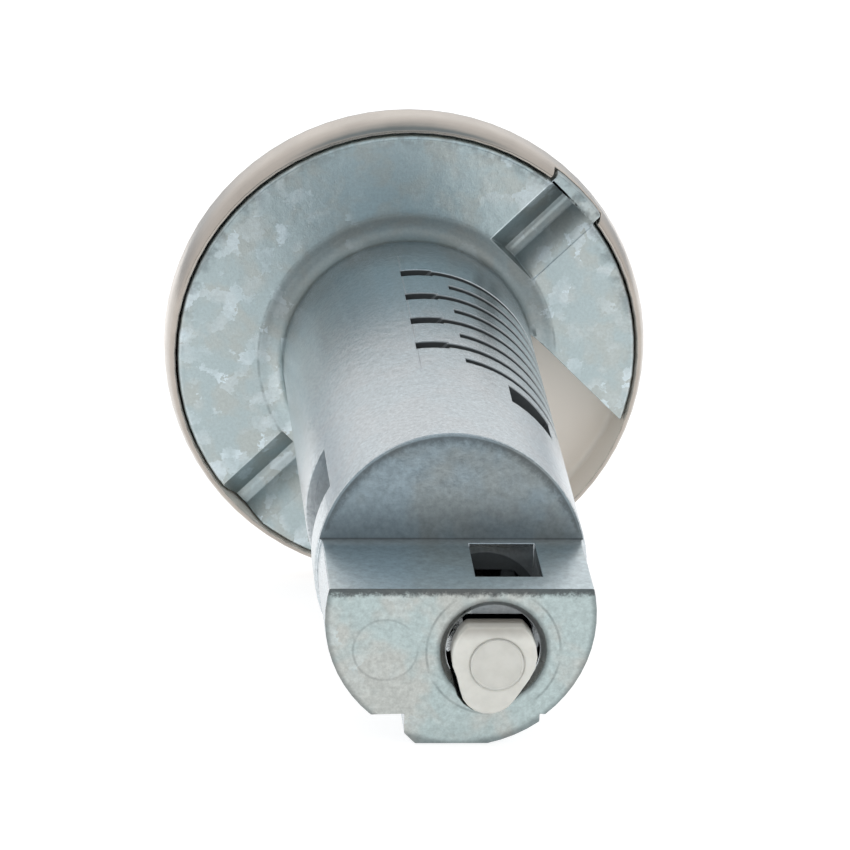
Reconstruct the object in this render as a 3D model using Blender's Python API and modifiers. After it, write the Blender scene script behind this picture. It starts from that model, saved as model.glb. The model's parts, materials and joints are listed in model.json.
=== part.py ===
"""Ignition lock cylinder for a steering column, in metres.

One die-cast zinc plug carries everything: a round flange with two finger ears in front, a slotted barrel
with eight wafers and a side bar, and a D-shaped drive end with a sprung white plunger. A pressed steel cap
covers the face. The lock is drawn about its own axis (Z runs from the face to the drive end) and then laid
down the way it comes to rest on a table: on the rim of its cap and on the heel of its drive end.
"""

import math

import bmesh
import bpy
from mathutils import Matrix, Vector

# Plug, measured along the axis from the rear side of the flange
FLANGE_RADIUS = 0.0180
FLANGE_THICKNESS = 0.0042
FLANGE_EDGE = 0.0002
BARREL_RADIUS = 0.00984
BARREL_LENGTH = 0.04663
ROOT_FILLET = 0.0014
DRIVE_LENGTH = 0.00985
DRIVE_RELIEF = 0.00024
DRIVE_FLAT = 0.0022
DRIVE_UNDERCUT = 0.0025
STEP_LEAN = math.radians(9.4)

# Heel under the drive end; its foot is cut flat
HEEL_CUT = 0.0003
HEEL_LEFT = 0.0038
HEEL_RIGHT = 0.0058
HEEL_BEVEL = 0.0008
HEEL_RELIEF = 0.00006

# The wing line: ears, key slot and wafers all lie along it, turned from the drive flat
WING_ANGLE = math.radians(45.0)
EAR_START = 0.0085
EAR_END = 0.0153
EAR_HALF_WIDTH = 0.0018
EAR_HEIGHT = 0.0068
EAR_TAPER = 0.0007
EAR_ROUNDING = 0.0006
GROOVE_SETBACK = 0.00156
GROOVE_WIDTH = 0.0048
GROOVE_FLOOR = 0.0011
GROOVE_DEPTH = 0.0020
FLANGE_NOTCH_HALF = 0.0083
LUG_HALF_WIDTH = 0.0024
LUG_THICKNESS = 0.0015
LUG_STEP = 0.00015

# Steel cap
CAP_GAP = 0.0003
CAP_WALL = 0.0008
CAP_LIP = -0.0001
CAP_DOME = 0.0006
CAP_CORNER = 0.0013

# Clearances
SEAT_GAP = 0.0003
RUNNING_GAP = 0.00025

# Key way and dust shutter
KEY_SLOT_WIDTH = 0.0026
KEY_SLOT_HEIGHT = 0.0088
KEY_SLOT_DEPTH = 0.0300
SHUTTER_HALF_LENGTH = 0.0055
SHUTTER_REACH = 0.0044
SHUTTER_THICKNESS = 0.0005
KNUCKLE_HALF_LENGTH = 0.0034
KNUCKLE_RADIUS = 0.00095
SHUTTER_PIN_RADIUS = 0.0004
SHUTTER_PIN_HALF_LENGTH = 0.0070
SHUTTER_PIN_OFFSET = 0.0027
SHUTTER_WIRE = 0.00013
SHUTTER_SPRING_TURNS = 3
SHUTTER_SPRING_LEG = 0.0026
SHUTTER_SPRING_TAIL = 0.0022

# Wafers and their springs
WAFER_COUNT = 8
WAFER_PITCH = 0.00285
FIRST_WAFER = 0.0087
WAFER_THICKNESS = 0.0004
WAFER_HALF_WIDTH = 0.00495
WAFER_CROWN_DEPTH = 0.0007
WAFER_SHOULDER_DEPTH = 0.0002
WAFER_SHOULDER = 0.00095
WAFER_TRAVEL = 0.0010
WAFER_ARM = 0.0008
WAFER_ARM_DEPTH = 0.0018
WAFER_ARM_OVERHANG = 0.00054
WAFER_NOTCH_DEPTH = 0.0010
KEY_STEPS = (2, 4, 1, 3, 4, 2, 3, 1)
KEY_STEP = 0.0002
POCKET_SPAN = 0.0017
POCKET_LENGTH = 0.0014
POCKET_FLOOR = 0.0019
WAFER_SPRING_RADIUS = 0.00034
WAFER_WIRE = 0.00011
WAFER_SPRING_TURNS = 4.5

# Side bar, on the side of the flange notch
BAR_THICKNESS = 0.0020
BAR_PROUD = 0.0008
BAR_HEIGHT = 0.0034
BAR_RIDGE = 0.0008
BAR_OVERHANG = 0.0032
BAR_TRAVEL = 0.0009
BAR_SPRING_RADIUS = 0.00052
BAR_SPRING_POCKET = 0.0017
BAR_WIRE = 0.00013
BAR_SPRING_TURNS = 5

# Windows in the barrel
REAR_WINDOW_START = 0.0306
REAR_WINDOW_LENGTH = 0.0036
REAR_WINDOW_WIDTH = 0.0043
SIDE_WINDOW_START = 0.0345
SIDE_WINDOW_LENGTH = 0.0081
SIDE_WINDOW_WIDTH = 0.0095
WINDOW_DEPTH = 0.0030

# Plunger bore in the drive end; the bore's centre is measured from the lock's axis
BORE_X = 0.00236
BORE_Y = -0.00252
BORE_DEPTH = 0.00923
BORE_MOUTH_RADIUS = 0.0038
BORE_MOUTH_DEPTH = 0.0005
BORE_MOUTH_LEDGE = 0.0001
GUIDE_DEPTH = 0.0070
PLUNGER_RADIUS = 0.00303
PLUNGER_FLAT = 0.0023
PLUNGER_LOBE_RADIUS = 0.00208
PLUNGER_LOBE_X = -0.0003
PLUNGER_LOBE_Y = -0.00224
PLUNGER_LOBE_ARC = (math.radians(190), math.radians(330))
PLUNGER_SIDE_ARC = (math.radians(209), math.radians(326))
PLUNGER_HEAD = 0.0052
PLUNGER_PROUD = 0.0012
PLUNGER_TRAVEL = 0.0022
PLUNGER_DISH_X = 0.00018
PLUNGER_DISH_Y = -0.0005
PLUNGER_DISH_RADIUS = 0.0019
PLUNGER_DISH_DEPTH = 0.0002
SHANK_RADIUS = 0.0014
PLUNGER_SPRING_RADIUS = 0.0021
PLUNGER_WIRE = 0.00022
PLUNGER_SPRING_TURNS = 5

# Window in the drive flat, over the bore
FLAT_WINDOW_LEFT = 0.00115
FLAT_WINDOW_WIDTH = 0.00475
FLAT_WINDOW_LENGTH = 0.0066
FLAT_WINDOW_FLOOR = -0.0006
FLAT_SLOT_WIDTH = 0.0024
FLAT_SLOT_TOP = 0.00013
FLAT_SLOT_DEPTH = 0.0030

# Springs: the turns at each end that lie nearly flat, and the share of the climb that they keep
END_TURN = 0.75
END_CLIMB = 0.15

# Facets, and how far a cutter reaches past what it cuts
ROUND_STEPS = 72
BORE_STEPS = 40
PIN_STEPS = 20
WIRE_STEPS = 8
OUTLINE_STEP = math.radians(6)
CORNER_STEP = math.radians(18)
SMOOTH_ANGLE = math.radians(35)
MERGE = 0.00001
OVERSHOOT = 0.002
FILLET_START = math.radians(192)

# Worked out from the sizes above
LOCK_END = BARREL_LENGTH + DRIVE_LENGTH
DRIVE_RADIUS = BARREL_RADIUS - DRIVE_RELIEF
DRIVE_UNDERSIDE = BARREL_RADIUS - DRIVE_UNDERCUT
HEEL_REACH = BARREL_RADIUS - HEEL_CUT
GROOVE_START = BARREL_RADIUS + GROOVE_SETBACK
LAST_WAFER = FIRST_WAFER + (WAFER_COUNT - 1) * WAFER_PITCH
CAP_INNER_RADIUS = FLANGE_RADIUS + CAP_GAP
CAP_RADIUS = CAP_INNER_RADIUS + CAP_WALL
CAP_INNER_FACE = -FLANGE_THICKNESS - SEAT_GAP
CAP_OUTER_FACE = CAP_INNER_FACE - CAP_WALL
SLOT_LENGTH = WAFER_THICKNESS + 2 * RUNNING_GAP
SLOT_HALF_WIDTH = WAFER_HALF_WIDTH + RUNNING_GAP
SPRING_LINE = BARREL_RADIUS * math.sin(math.radians(45.0))
PIN_DEPTH = -FLANGE_THICKNESS + KNUCKLE_RADIUS


def clear_scene():
    """Remove whatever the open file holds, so that each run starts empty."""
    for thing in list(bpy.data.objects):
        bpy.data.objects.remove(thing, do_unlink=True)


def make_collection(name):
    """Return a new collection that hangs under the scene's own."""
    made = bpy.data.collections.new(name)
    bpy.context.scene.collection.children.link(made)
    return made


def make_material(name, colour, roughness, metallic):
    """Return a Principled material with one colour, roughness and metallic value."""
    made = bpy.data.materials.new(name)
    made.use_nodes = True
    shader = made.node_tree.nodes["Principled BSDF"]
    shader.inputs["Base Color"].default_value = (*colour, 1.0)
    shader.inputs["Roughness"].default_value = roughness
    shader.inputs["Metallic"].default_value = metallic
    return made


def make_empty(name, parent, location=(0, 0, 0), turn=0.0):
    """Return an empty under parent, turned about Z: a frame that other pieces are placed in."""
    made = bpy.data.objects.new(name, None)
    parts.objects.link(made)
    made.parent = parent
    made.location = location
    made.rotation_euler = (0, 0, turn)
    return made


def place(name, mesh, frame, material=None):
    """Link a mesh as an object in frame; a piece has a material and a cutter has none."""
    made = bpy.data.objects.new(name, mesh)
    made.parent = frame
    if material:
        mesh.materials.append(material)
        mesh.shade_smooth()
        mesh.set_sharp_from_angle(angle=SMOOTH_ANGLE)
        parts.objects.link(made)
    else:
        cutters.objects.link(made)
        made.hide_render = True
        made.display_type = "WIRE"
    return made


def box_mesh(name, low, high):
    """A box between two corners, from Blender's cube primitive."""
    bpy.ops.mesh.primitive_cube_add(size=1)
    cube = bpy.context.object
    mesh = cube.data
    mesh.name = name
    size = Vector(high) - Vector(low)
    middle = (Vector(high) + Vector(low)) / 2
    mesh.transform(Matrix.Translation(middle) @ Matrix.Diagonal((*size, 1)))
    bpy.data.objects.remove(cube, do_unlink=True)
    return mesh


def baked(thing):
    """Return the evaluated mesh of an object in world space, with doubles merged, and drop the object."""
    bpy.context.view_layer.update()
    seen = thing.evaluated_get(bpy.context.evaluated_depsgraph_get())
    mesh = bpy.data.meshes.new_from_object(seen)
    mesh.materials.clear()
    mesh.transform(thing.matrix_world)
    bpy.data.objects.remove(thing, do_unlink=True)
    work = bmesh.new()
    work.from_mesh(mesh)
    bmesh.ops.remove_doubles(work, verts=work.verts, dist=MERGE)
    work.to_mesh(mesh)
    work.free()
    return mesh


def joined_mesh(meshes):
    """Gather meshes that don't touch into one, for a cutter that makes like cuts in one go."""
    work = bmesh.new()
    for mesh in meshes:
        work.from_mesh(mesh)
    joined = bpy.data.meshes.new("joined")
    work.to_mesh(joined)
    work.free()
    return joined


def turned_mesh(name, profile, steps):
    """Turn a profile of (radius, height) points about Z; it runs down the outer side from top to bottom."""
    mesh = bpy.data.meshes.new(name)
    points = [(radius, 0, height) for radius, height in profile]
    edges = [(i, i + 1) for i in range(len(points) - 1)]
    mesh.from_pydata(points, edges, [])
    line = bpy.data.objects.new(name, mesh)
    bpy.context.scene.collection.objects.link(line)
    screw = line.modifiers.new("turn", "SCREW")
    screw.steps = steps
    screw.render_steps = steps
    screw.use_merge_vertices = True
    screw.merge_threshold = MERGE
    return baked(line)


def plate_mesh(name, outline, low, high):
    """Raise a flat outline of (x, y) points from height low to height high."""
    curve = bpy.data.curves.new(name, "CURVE")
    curve.dimensions = "2D"
    curve.fill_mode = "BOTH"
    curve.extrude = (high - low) / 2
    spline = curve.splines.new("POLY")
    spline.points.add(len(outline) - 1)
    for point, (x, y) in zip(spline.points, outline):
        point.co = (x, y, 0, 1)
    spline.use_cyclic_u = True
    flat = bpy.data.objects.new(name, curve)
    bpy.context.scene.collection.objects.link(flat)
    flat.location = (0, 0, (high + low) / 2)
    return baked(flat)


def wire_mesh(name, points, radius):
    """A round wire with capped ends along a line of points."""
    curve = bpy.data.curves.new(name, "CURVE")
    curve.dimensions = "3D"
    curve.bevel_depth = radius
    curve.bevel_resolution = 1
    curve.use_fill_caps = True
    spline = curve.splines.new("POLY")
    spline.points.add(len(points) - 1)
    for point, place_at in zip(spline.points, points):
        point.co = (*place_at, 1)
    wire = bpy.data.objects.new(name, curve)
    bpy.context.scene.collection.objects.link(wire)
    return baked(wire)


def arc(centre, radius, start, end, step=CORNER_STEP):
    """Points of an arc about centre, from angle start to angle end, with about step between them."""
    count = math.ceil(abs(end - start) / step)
    angles = [start + (end - start) * i / count for i in range(count + 1)]
    return [(centre[0] + radius * math.cos(a), centre[1] + radius * math.sin(a)) for a in angles]


def coil(radius, low, high, turns, per_turn=WIRE_STEPS):
    """Points of a compression spring about Z: even turns between two ends that climb little."""
    count = round(turns * per_turn)
    points = []
    for i in range(count + 1):
        turn = i / per_turn
        even = min(max((turn - END_TURN) / (turns - 2 * END_TURN), 0.0), 1.0)
        climb = (1 - END_CLIMB) * even + END_CLIMB * i / count
        angle = 2 * math.pi * turn
        points.append((radius * math.cos(angle), radius * math.sin(angle), low + (high - low) * climb))
    return points


def stand_along(mesh, origin, direction):
    """Turn a mesh drawn about Z so that its Z axis points along direction, and move it to origin."""
    turn = Vector(direction).to_track_quat("Z", "Y").to_matrix().to_4x4()
    mesh.transform(Matrix.Translation(origin) @ turn)
    return mesh


def combine(target, tools, operation="DIFFERENCE"):
    """Note that tools cut target, or join it; add_booleans() does it once every mesh is drawn."""
    boolean_steps.append((target, tools, operation))


def add_booleans():
    """Give each target its exact Booleans, in the order in which they were noted."""
    for target, tools, operation in boolean_steps:
        group = bpy.data.collections.new(f"{target.name}_{operation.lower()}")
        cutters.children.link(group)
        for tool in tools:
            group.objects.link(tool)
            cutters.objects.unlink(tool)
        step = target.modifiers.new(operation.lower(), "BOOLEAN")
        step.operation = operation
        step.operand_type = "COLLECTION"
        step.collection = group
        step.solver = "EXACT"


def wafer_places():
    """Distance of each wafer from the flange, and the side that its spring is on."""
    return [(FIRST_WAFER + i * WAFER_PITCH, 1 if i % 2 == 0 else -1) for i in range(WAFER_COUNT)]


def flange_mesh():
    """Flange disc with a hollow fillet that runs up to the barrel."""
    middle = (BARREL_RADIUS + ROOT_FILLET, ROOT_FILLET)
    fillet = arc(middle, ROOT_FILLET, FILLET_START, 1.5 * math.pi)
    profile = [(0, fillet[0][1]), *fillet]
    profile += [
        (FLANGE_RADIUS - FLANGE_EDGE, 0),
        (FLANGE_RADIUS, -FLANGE_EDGE),
        (FLANGE_RADIUS, FLANGE_EDGE - FLANGE_THICKNESS),
        (FLANGE_RADIUS - FLANGE_EDGE, -FLANGE_THICKNESS),
        (0, -FLANGE_THICKNESS),
    ]
    return turned_mesh("flange", profile, ROUND_STEPS)


def barrel_mesh():
    """Round barrel; its foot is buried in the flange."""
    foot = SEAT_GAP - FLANGE_THICKNESS
    profile = [(0, BARREL_LENGTH), (BARREL_RADIUS, BARREL_LENGTH), (BARREL_RADIUS, foot), (0, foot)]
    return turned_mesh("barrel", profile, ROUND_STEPS)


def drive_outline():
    """Outline of the drive end: a round bar that is cut off below to leave the heel."""
    low = math.asin(DRIVE_UNDERSIDE / DRIVE_RADIUS)
    heel_radius = BARREL_RADIUS - HEEL_RELIEF
    heel_side = math.acos(HEEL_RIGHT / heel_radius)
    heel_foot = math.asin(HEEL_REACH / heel_radius)
    outline = arc((0, 0), DRIVE_RADIUS, math.pi + low, -low, OUTLINE_STEP)
    root = HEEL_RELIEF - DRIVE_UNDERSIDE
    outline.append((HEEL_RIGHT, root))
    outline += arc((0, 0), heel_radius, -heel_side, -heel_foot, OUTLINE_STEP)
    outline.append((HEEL_BEVEL - HEEL_LEFT, -HEEL_REACH))
    outline.append((-HEEL_LEFT, HEEL_BEVEL - HEEL_REACH))
    outline.append((-HEEL_LEFT, root))
    return outline


def plunger_outline(gap):
    """Plunger's section grown by gap: a circle with a flat on top and a round lobe below."""
    radius = PLUNGER_RADIUS + gap
    corner = math.asin((PLUNGER_FLAT + gap) / radius)
    left, right = PLUNGER_SIDE_ARC
    lobe = (BORE_X + PLUNGER_LOBE_X, BORE_Y + PLUNGER_LOBE_Y)
    outline = arc((BORE_X, BORE_Y), radius, math.pi - corner, left)
    outline += arc(lobe, PLUNGER_LOBE_RADIUS + gap, *PLUNGER_LOBE_ARC)
    outline += arc((BORE_X, BORE_Y), radius, right, 2 * math.pi + corner)
    return outline


def ear_mesh(name, grow, lift, sign):
    """Finger ear in front of the flange: a box that narrows to its tip, with rounded edges.

    grow widens it on every side; lift is where its foot lies, counted from the flange's front.
    """
    start = EAR_START - grow
    end = EAR_END + grow
    half = EAR_HALF_WIDTH + grow
    foot = -FLANGE_THICKNESS + lift
    tip = -FLANGE_THICKNESS - EAR_HEIGHT - grow
    mesh = box_mesh(name, (start, -half, tip), (end, half, foot))
    for vertex in mesh.vertices:
        if vertex.co.z < (foot + tip) / 2:
            vertex.co.x += EAR_TAPER if vertex.co.x < (start + end) / 2 else -EAR_TAPER
            vertex.co.y -= math.copysign(EAR_TAPER, vertex.co.y)
    if sign < 0:
        mesh.transform(Matrix.Rotation(math.pi, 4, "Z"))
    holder = bpy.data.objects.new(name, mesh)
    bpy.context.scene.collection.objects.link(holder)
    rounding = holder.modifiers.new("rounding", "BEVEL")
    rounding.width = EAR_ROUNDING + grow
    rounding.segments = 3
    rounding.limit_method = "ANGLE"
    return baked(holder)


def groove_mesh(name, sign):
    """Drafted groove in the flange's rear side: wide at the top, narrow at its floor, open at the rim."""
    top = GROOVE_WIDTH / 2
    floor = GROOVE_FLOOR / 2
    spread = (top - floor) / GROOVE_DEPTH * OVERSHOOT
    outline = [
        (-floor, -GROOVE_DEPTH),
        (floor, -GROOVE_DEPTH),
        (top + spread, OVERSHOOT),
        (-top - spread, OVERSHOOT),
    ]
    # the rim lug closes the outer end of the groove on its own side
    reach = FLANGE_RADIUS + (SEAT_GAP / 3 if sign > 0 else OVERSHOOT)
    mesh = plate_mesh(name, outline, GROOVE_START, reach)
    turn = Matrix(((0, 0, 1, 0), (1, 0, 0, 0), (0, 1, 0, 0), (0, 0, 0, 1)))
    mesh.transform(turn)
    if sign < 0:
        mesh.transform(Matrix.Rotation(math.pi, 4, "Z"))
    return mesh


def make_plug(lock, wing, zinc):
    """The whole zinc casting, with every slot and bore that its pieces need."""
    plug = place("plug_body", flange_mesh(), lock, zinc)
    low = (-FLANGE_NOTCH_HALF, -CAP_RADIUS - OVERSHOOT, -FLANGE_THICKNESS - OVERSHOOT)
    high = (FLANGE_NOTCH_HALF, -SLOT_HALF_WIDTH, ROOT_FILLET + OVERSHOOT)
    combine(plug, [place("flange_notch", box_mesh("flange_notch", low, high), wing)])
    drive = plate_mesh("drive_end", drive_outline(), BARREL_LENGTH - OVERSHOOT, LOCK_END)
    added = [
        place("barrel", barrel_mesh(), lock),
        place("drive_end", drive, lock),
        make_rim_lug(lock, wing),
    ]
    cuts = []
    for sign, side in ((1, "upper"), (-1, "lower")):
        core = ear_mesh(f"ear_core_{side}", 0, FLANGE_THICKNESS / 2, sign)
        added.append(place(f"ear_core_{side}", core, wing))
        cuts.append(place(f"groove_{side}", groove_mesh(f"groove_{side}", sign), wing))
    combine(plug, added, "UNION")
    cuts.append(step_cutter(lock))
    cuts += key_way_cutters(wing)
    cuts += wafer_cutters(wing)
    cuts += bar_cutters(wing)
    cuts += window_cutters(lock, wing)
    cuts += plunger_cutters(lock)
    combine(plug, cuts)
    return plug


def make_rim_lug(lock, wing):
    """Lug on the flange's edge that fills the notch in the cap's rim; its outer side is round."""
    low = (FLANGE_RADIUS - OVERSHOOT, -LUG_HALF_WIDTH, -LUG_THICKNESS)
    high = (CAP_RADIUS + OVERSHOOT, LUG_HALF_WIDTH, -LUG_STEP)
    lug = place("rim_lug", box_mesh("rim_lug", low, high), wing)
    lug_end = CAP_RADIUS - SEAT_GAP / 3
    disc = turned_mesh("lug_round", [
        (0, OVERSHOOT),
        (lug_end, OVERSHOOT),
        (lug_end, -LUG_THICKNESS - OVERSHOOT),
        (0, -LUG_THICKNESS - OVERSHOOT),
    ], ROUND_STEPS)
    combine(lug, [place("lug_round", disc, lock)], "INTERSECT")
    return lug


def step_cutter(lock):
    """Take the upper half off the drive end; the wall that is left leans towards the face."""
    rise = BARREL_RADIUS + OVERSHOOT
    outline = [
        (DRIVE_FLAT, BARREL_LENGTH),
        (rise, BARREL_LENGTH - (rise - DRIVE_FLAT) * math.tan(STEP_LEAN)),
        (rise, LOCK_END + OVERSHOOT),
        (DRIVE_FLAT, LOCK_END + OVERSHOOT),
    ]
    mesh = plate_mesh("step", outline, -rise, rise)
    mesh.transform(Matrix(((0, 0, 1, 0), (1, 0, 0, 0), (0, 1, 0, 0), (0, 0, 0, 1))))
    return place("step", mesh, lock)


def key_way_cutters(wing):
    """Key slot down the axis, and the pocket that the dust shutter swings in."""
    front = -FLANGE_THICKNESS - OVERSHOOT
    half_height = KEY_SLOT_HEIGHT / 2
    half_width = KEY_SLOT_WIDTH / 2
    slot = box_mesh(
        "key_slot", (-half_height, -half_width, front), (half_height, half_width, KEY_SLOT_DEPTH)
    )
    half_length = SHUTTER_HALF_LENGTH + 2 * SEAT_GAP
    tip = SHUTTER_PIN_OFFSET - SHUTTER_REACH - SEAT_GAP
    wall = SHUTTER_PIN_OFFSET + KNUCKLE_RADIUS + 2 * SEAT_GAP
    floor = PIN_DEPTH + SHUTTER_REACH + SEAT_GAP
    pocket = box_mesh("shutter_pocket", (-half_length, tip, front), (half_length, wall, floor))
    reach = SHUTTER_PIN_HALF_LENGTH + SEAT_GAP
    seat = SHUTTER_PIN_RADIUS + SEAT_GAP
    notch = box_mesh(
        "shutter_pin_seat",
        (-reach, SHUTTER_PIN_OFFSET - seat, front),
        (reach, SHUTTER_PIN_OFFSET + seat, PIN_DEPTH + seat),
    )
    return [
        place("key_slot", slot, wing),
        place("shutter_pocket", pocket, wing),
        place("shutter_pin_seat", notch, wing),
    ]


def wafer_cutters(wing):
    """A through slot for each wafer, and a pocket beside it for the wafer's spring."""
    reach = BARREL_RADIUS + OVERSHOOT
    near = SPRING_LINE - POCKET_SPAN / 2
    far = SPRING_LINE + POCKET_SPAN / 2
    inset = SEAT_GAP / 3
    slots = []
    pockets = []
    for height, side in wafer_places():
        outline = [
            (-reach, -SLOT_HALF_WIDTH),
            (reach, -SLOT_HALF_WIDTH),
            (reach, far - inset),
            (POCKET_FLOOR + inset, far - inset),
            (POCKET_FLOOR + inset, SLOT_HALF_WIDTH),
            (-reach, SLOT_HALF_WIDTH),
        ]
        outline = [(x, side * y) for x, y in outline]
        slots.append(plate_mesh("slot", outline, height - SLOT_LENGTH / 2, height + SLOT_LENGTH / 2))
        edges = sorted((side * near, side * far))
        low = (POCKET_FLOOR, edges[0], height - POCKET_LENGTH / 2)
        high = (reach, edges[1], height + POCKET_LENGTH / 2)
        pockets.append(box_mesh("pocket", low, high))
    return [
        place("wafer_slots", joined_mesh(slots), wing),
        place("spring_pockets", joined_mesh(pockets), wing),
    ]


def bar_ends():
    """Where the side bar starts and ends along the lock."""
    return FIRST_WAFER - BAR_OVERHANG, LAST_WAFER + BAR_OVERHANG


def bar_foot():
    """Height of the side bar's underside above the lock's axis."""
    return BARREL_RADIUS + BAR_PROUD - BAR_HEIGHT


def bar_spring_places():
    """Distance of each bar spring from the flange, just inside the bar's ends."""
    start, end = bar_ends()
    inset = BAR_SPRING_RADIUS + BAR_WIRE + 3 * SEAT_GAP
    return (start + inset, end - inset)


def bar_cutters(wing):
    """Groove for the side bar, a thin gate for its ridge, and a hole under each end for a spring."""
    start, end = bar_ends()
    half = BAR_THICKNESS / 2 + RUNNING_GAP
    floor = bar_foot() - BAR_TRAVEL - RUNNING_GAP
    reach = BARREL_RADIUS + OVERSHOOT
    groove = box_mesh("bar_groove", (-half, -reach, start - SEAT_GAP), (half, -floor, end + SEAT_GAP))
    gate_half = BAR_RIDGE / 2 + RUNNING_GAP
    gate_low = (-gate_half, -reach, FIRST_WAFER - SLOT_LENGTH - SEAT_GAP)
    gate_high = (gate_half, WAFER_NOTCH_DEPTH - WAFER_HALF_WIDTH, LAST_WAFER + SLOT_LENGTH + SEAT_GAP)
    bore = BAR_SPRING_RADIUS + BAR_WIRE + RUNNING_GAP
    holes = []
    for height in bar_spring_places():
        hole = turned_mesh("bar_spring_hole", [
            (0, reach),
            (bore, reach),
            (bore, floor - BAR_SPRING_POCKET),
            (0, floor - BAR_SPRING_POCKET),
        ], PIN_STEPS)
        holes.append(stand_along(hole, (0, 0, height), (0, -1, 0)))
    return [
        place("bar_groove", groove, wing),
        place("bar_gate", box_mesh("bar_gate", gate_low, gate_high), wing),
        place("bar_spring_holes", joined_mesh(holes), wing),
    ]


def window_cutters(lock, wing):
    """The square window behind the wafers and the long one on the lock's left side."""
    reach = BARREL_RADIUS + OVERSHOOT
    floor = BARREL_RADIUS - WINDOW_DEPTH
    half = REAR_WINDOW_WIDTH / 2
    rear_end = REAR_WINDOW_START + REAR_WINDOW_LENGTH
    rear = box_mesh("rear_window", (floor, -half, REAR_WINDOW_START), (reach, half, rear_end))
    half = SIDE_WINDOW_WIDTH / 2
    side_end = SIDE_WINDOW_START + SIDE_WINDOW_LENGTH
    side = box_mesh("side_window", (-reach, -half, SIDE_WINDOW_START), (-floor, half, side_end))
    return [place("rear_window", rear, wing), place("side_window", side, lock)]


def plunger_cutters(lock):
    """Keyed bore with a dished mouth, the guide hole behind it, and the window over it in the drive flat."""
    bottom = LOCK_END - BORE_DEPTH
    bore = plate_mesh("plunger_bore", plunger_outline(SEAT_GAP), bottom, LOCK_END + OVERSHOOT)
    throat = PLUNGER_RADIUS + SEAT_GAP + BORE_MOUTH_LEDGE
    spread = (BORE_MOUTH_RADIUS - throat) / BORE_MOUTH_DEPTH * OVERSHOOT
    mouth = turned_mesh("bore_mouth", [
        (0, LOCK_END + OVERSHOOT),
        (BORE_MOUTH_RADIUS + spread, LOCK_END + OVERSHOOT),
        (throat, LOCK_END - BORE_MOUTH_DEPTH),
        (0, LOCK_END - BORE_MOUTH_DEPTH),
    ], BORE_STEPS)
    mouth.transform(Matrix.Translation((BORE_X, BORE_Y, 0)))
    guide_radius = SHANK_RADIUS + SEAT_GAP
    guide = turned_mesh("guide_hole", [
        (0, bottom + OVERSHOOT),
        (guide_radius, bottom + OVERSHOOT),
        (guide_radius, bottom - GUIDE_DEPTH),
        (0, bottom - GUIDE_DEPTH),
    ], PIN_STEPS)
    guide.transform(Matrix.Translation((BORE_X, BORE_Y, 0)))
    wall = bottom + SEAT_GAP / 3
    low = (FLAT_WINDOW_LEFT, FLAT_WINDOW_FLOOR, wall)
    high = (FLAT_WINDOW_LEFT + FLAT_WINDOW_WIDTH, DRIVE_FLAT + OVERSHOOT, wall + FLAT_WINDOW_LENGTH)
    window = box_mesh("flat_window", low, high)
    low = (FLAT_WINDOW_LEFT + SEAT_GAP / 3, FLAT_WINDOW_FLOOR - SEAT_GAP, bottom - FLAT_SLOT_DEPTH)
    high = (FLAT_WINDOW_LEFT + FLAT_SLOT_WIDTH, FLAT_SLOT_TOP, bottom + OVERSHOOT / 2)
    slot = box_mesh("flat_slot", low, high)
    return [
        place("plunger_bore", bore, lock),
        place("bore_mouth", mouth, lock),
        place("guide_hole", guide, lock),
        place("flat_window", window, lock),
        place("flat_slot", slot, lock),
    ]


def cap_profile():
    """Cup section, from the middle of its inner face over the rolled lip to the middle of its outer face."""
    inner_corner = CAP_CORNER - CAP_WALL
    middle = (CAP_INNER_RADIUS - inner_corner, CAP_INNER_FACE + inner_corner)
    profile = [(0, CAP_INNER_FACE)]
    profile += arc(middle, inner_corner, 1.5 * math.pi, 2 * math.pi)
    middle = (CAP_INNER_RADIUS + CAP_WALL / 2, CAP_LIP - CAP_WALL / 2)
    profile += arc(middle, CAP_WALL / 2, math.pi, 0, 1.5 * CORNER_STEP)
    middle = (CAP_RADIUS - CAP_CORNER, CAP_OUTER_FACE + CAP_CORNER)
    dome_slope = math.atan2(CAP_DOME, CAP_RADIUS - CAP_CORNER)
    profile += arc(middle, CAP_CORNER, 0, dome_slope - math.pi / 2)
    profile.append((0, CAP_OUTER_FACE - CAP_DOME))
    return profile


def make_cap(lock, wing, steel):
    """Pressed steel cap: a shallow cup with two hollow ears, a key slot and a notch in its rim."""
    cap = place("face_cap", turned_mesh("face_cap", cap_profile(), ROUND_STEPS), lock, steel)
    skin = SEAT_GAP + CAP_WALL
    shells = []
    cuts = []
    for sign, side in ((1, "upper"), (-1, "lower")):
        shell = ear_mesh(f"ear_shell_{side}", skin, -SEAT_GAP - CAP_WALL / 2, sign)
        shells.append(place(f"ear_shell_{side}", shell, wing))
        hollow = ear_mesh(f"ear_hollow_{side}", SEAT_GAP, 0, sign)
        cuts.append(place(f"ear_hollow_{side}", hollow, wing))
    combine(cap, shells, "UNION")
    half_height = KEY_SLOT_HEIGHT / 2 + SEAT_GAP
    half_width = KEY_SLOT_WIDTH / 2 + SEAT_GAP / 2
    deep = CAP_OUTER_FACE - CAP_DOME - OVERSHOOT
    slot = box_mesh("cap_key_slot", (-half_height, -half_width, deep), (half_height, half_width, 0))
    cuts.append(place("cap_key_slot", slot, wing))
    half = LUG_HALF_WIDTH + SEAT_GAP
    low = (CAP_INNER_RADIUS - OVERSHOOT, -half, -LUG_THICKNESS - SEAT_GAP)
    high = (CAP_RADIUS + OVERSHOOT, half, CAP_LIP + OVERSHOOT)
    cuts.append(place("rim_notch", box_mesh("rim_notch", low, high), wing))
    combine(cap, cuts)
    return cap


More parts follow.
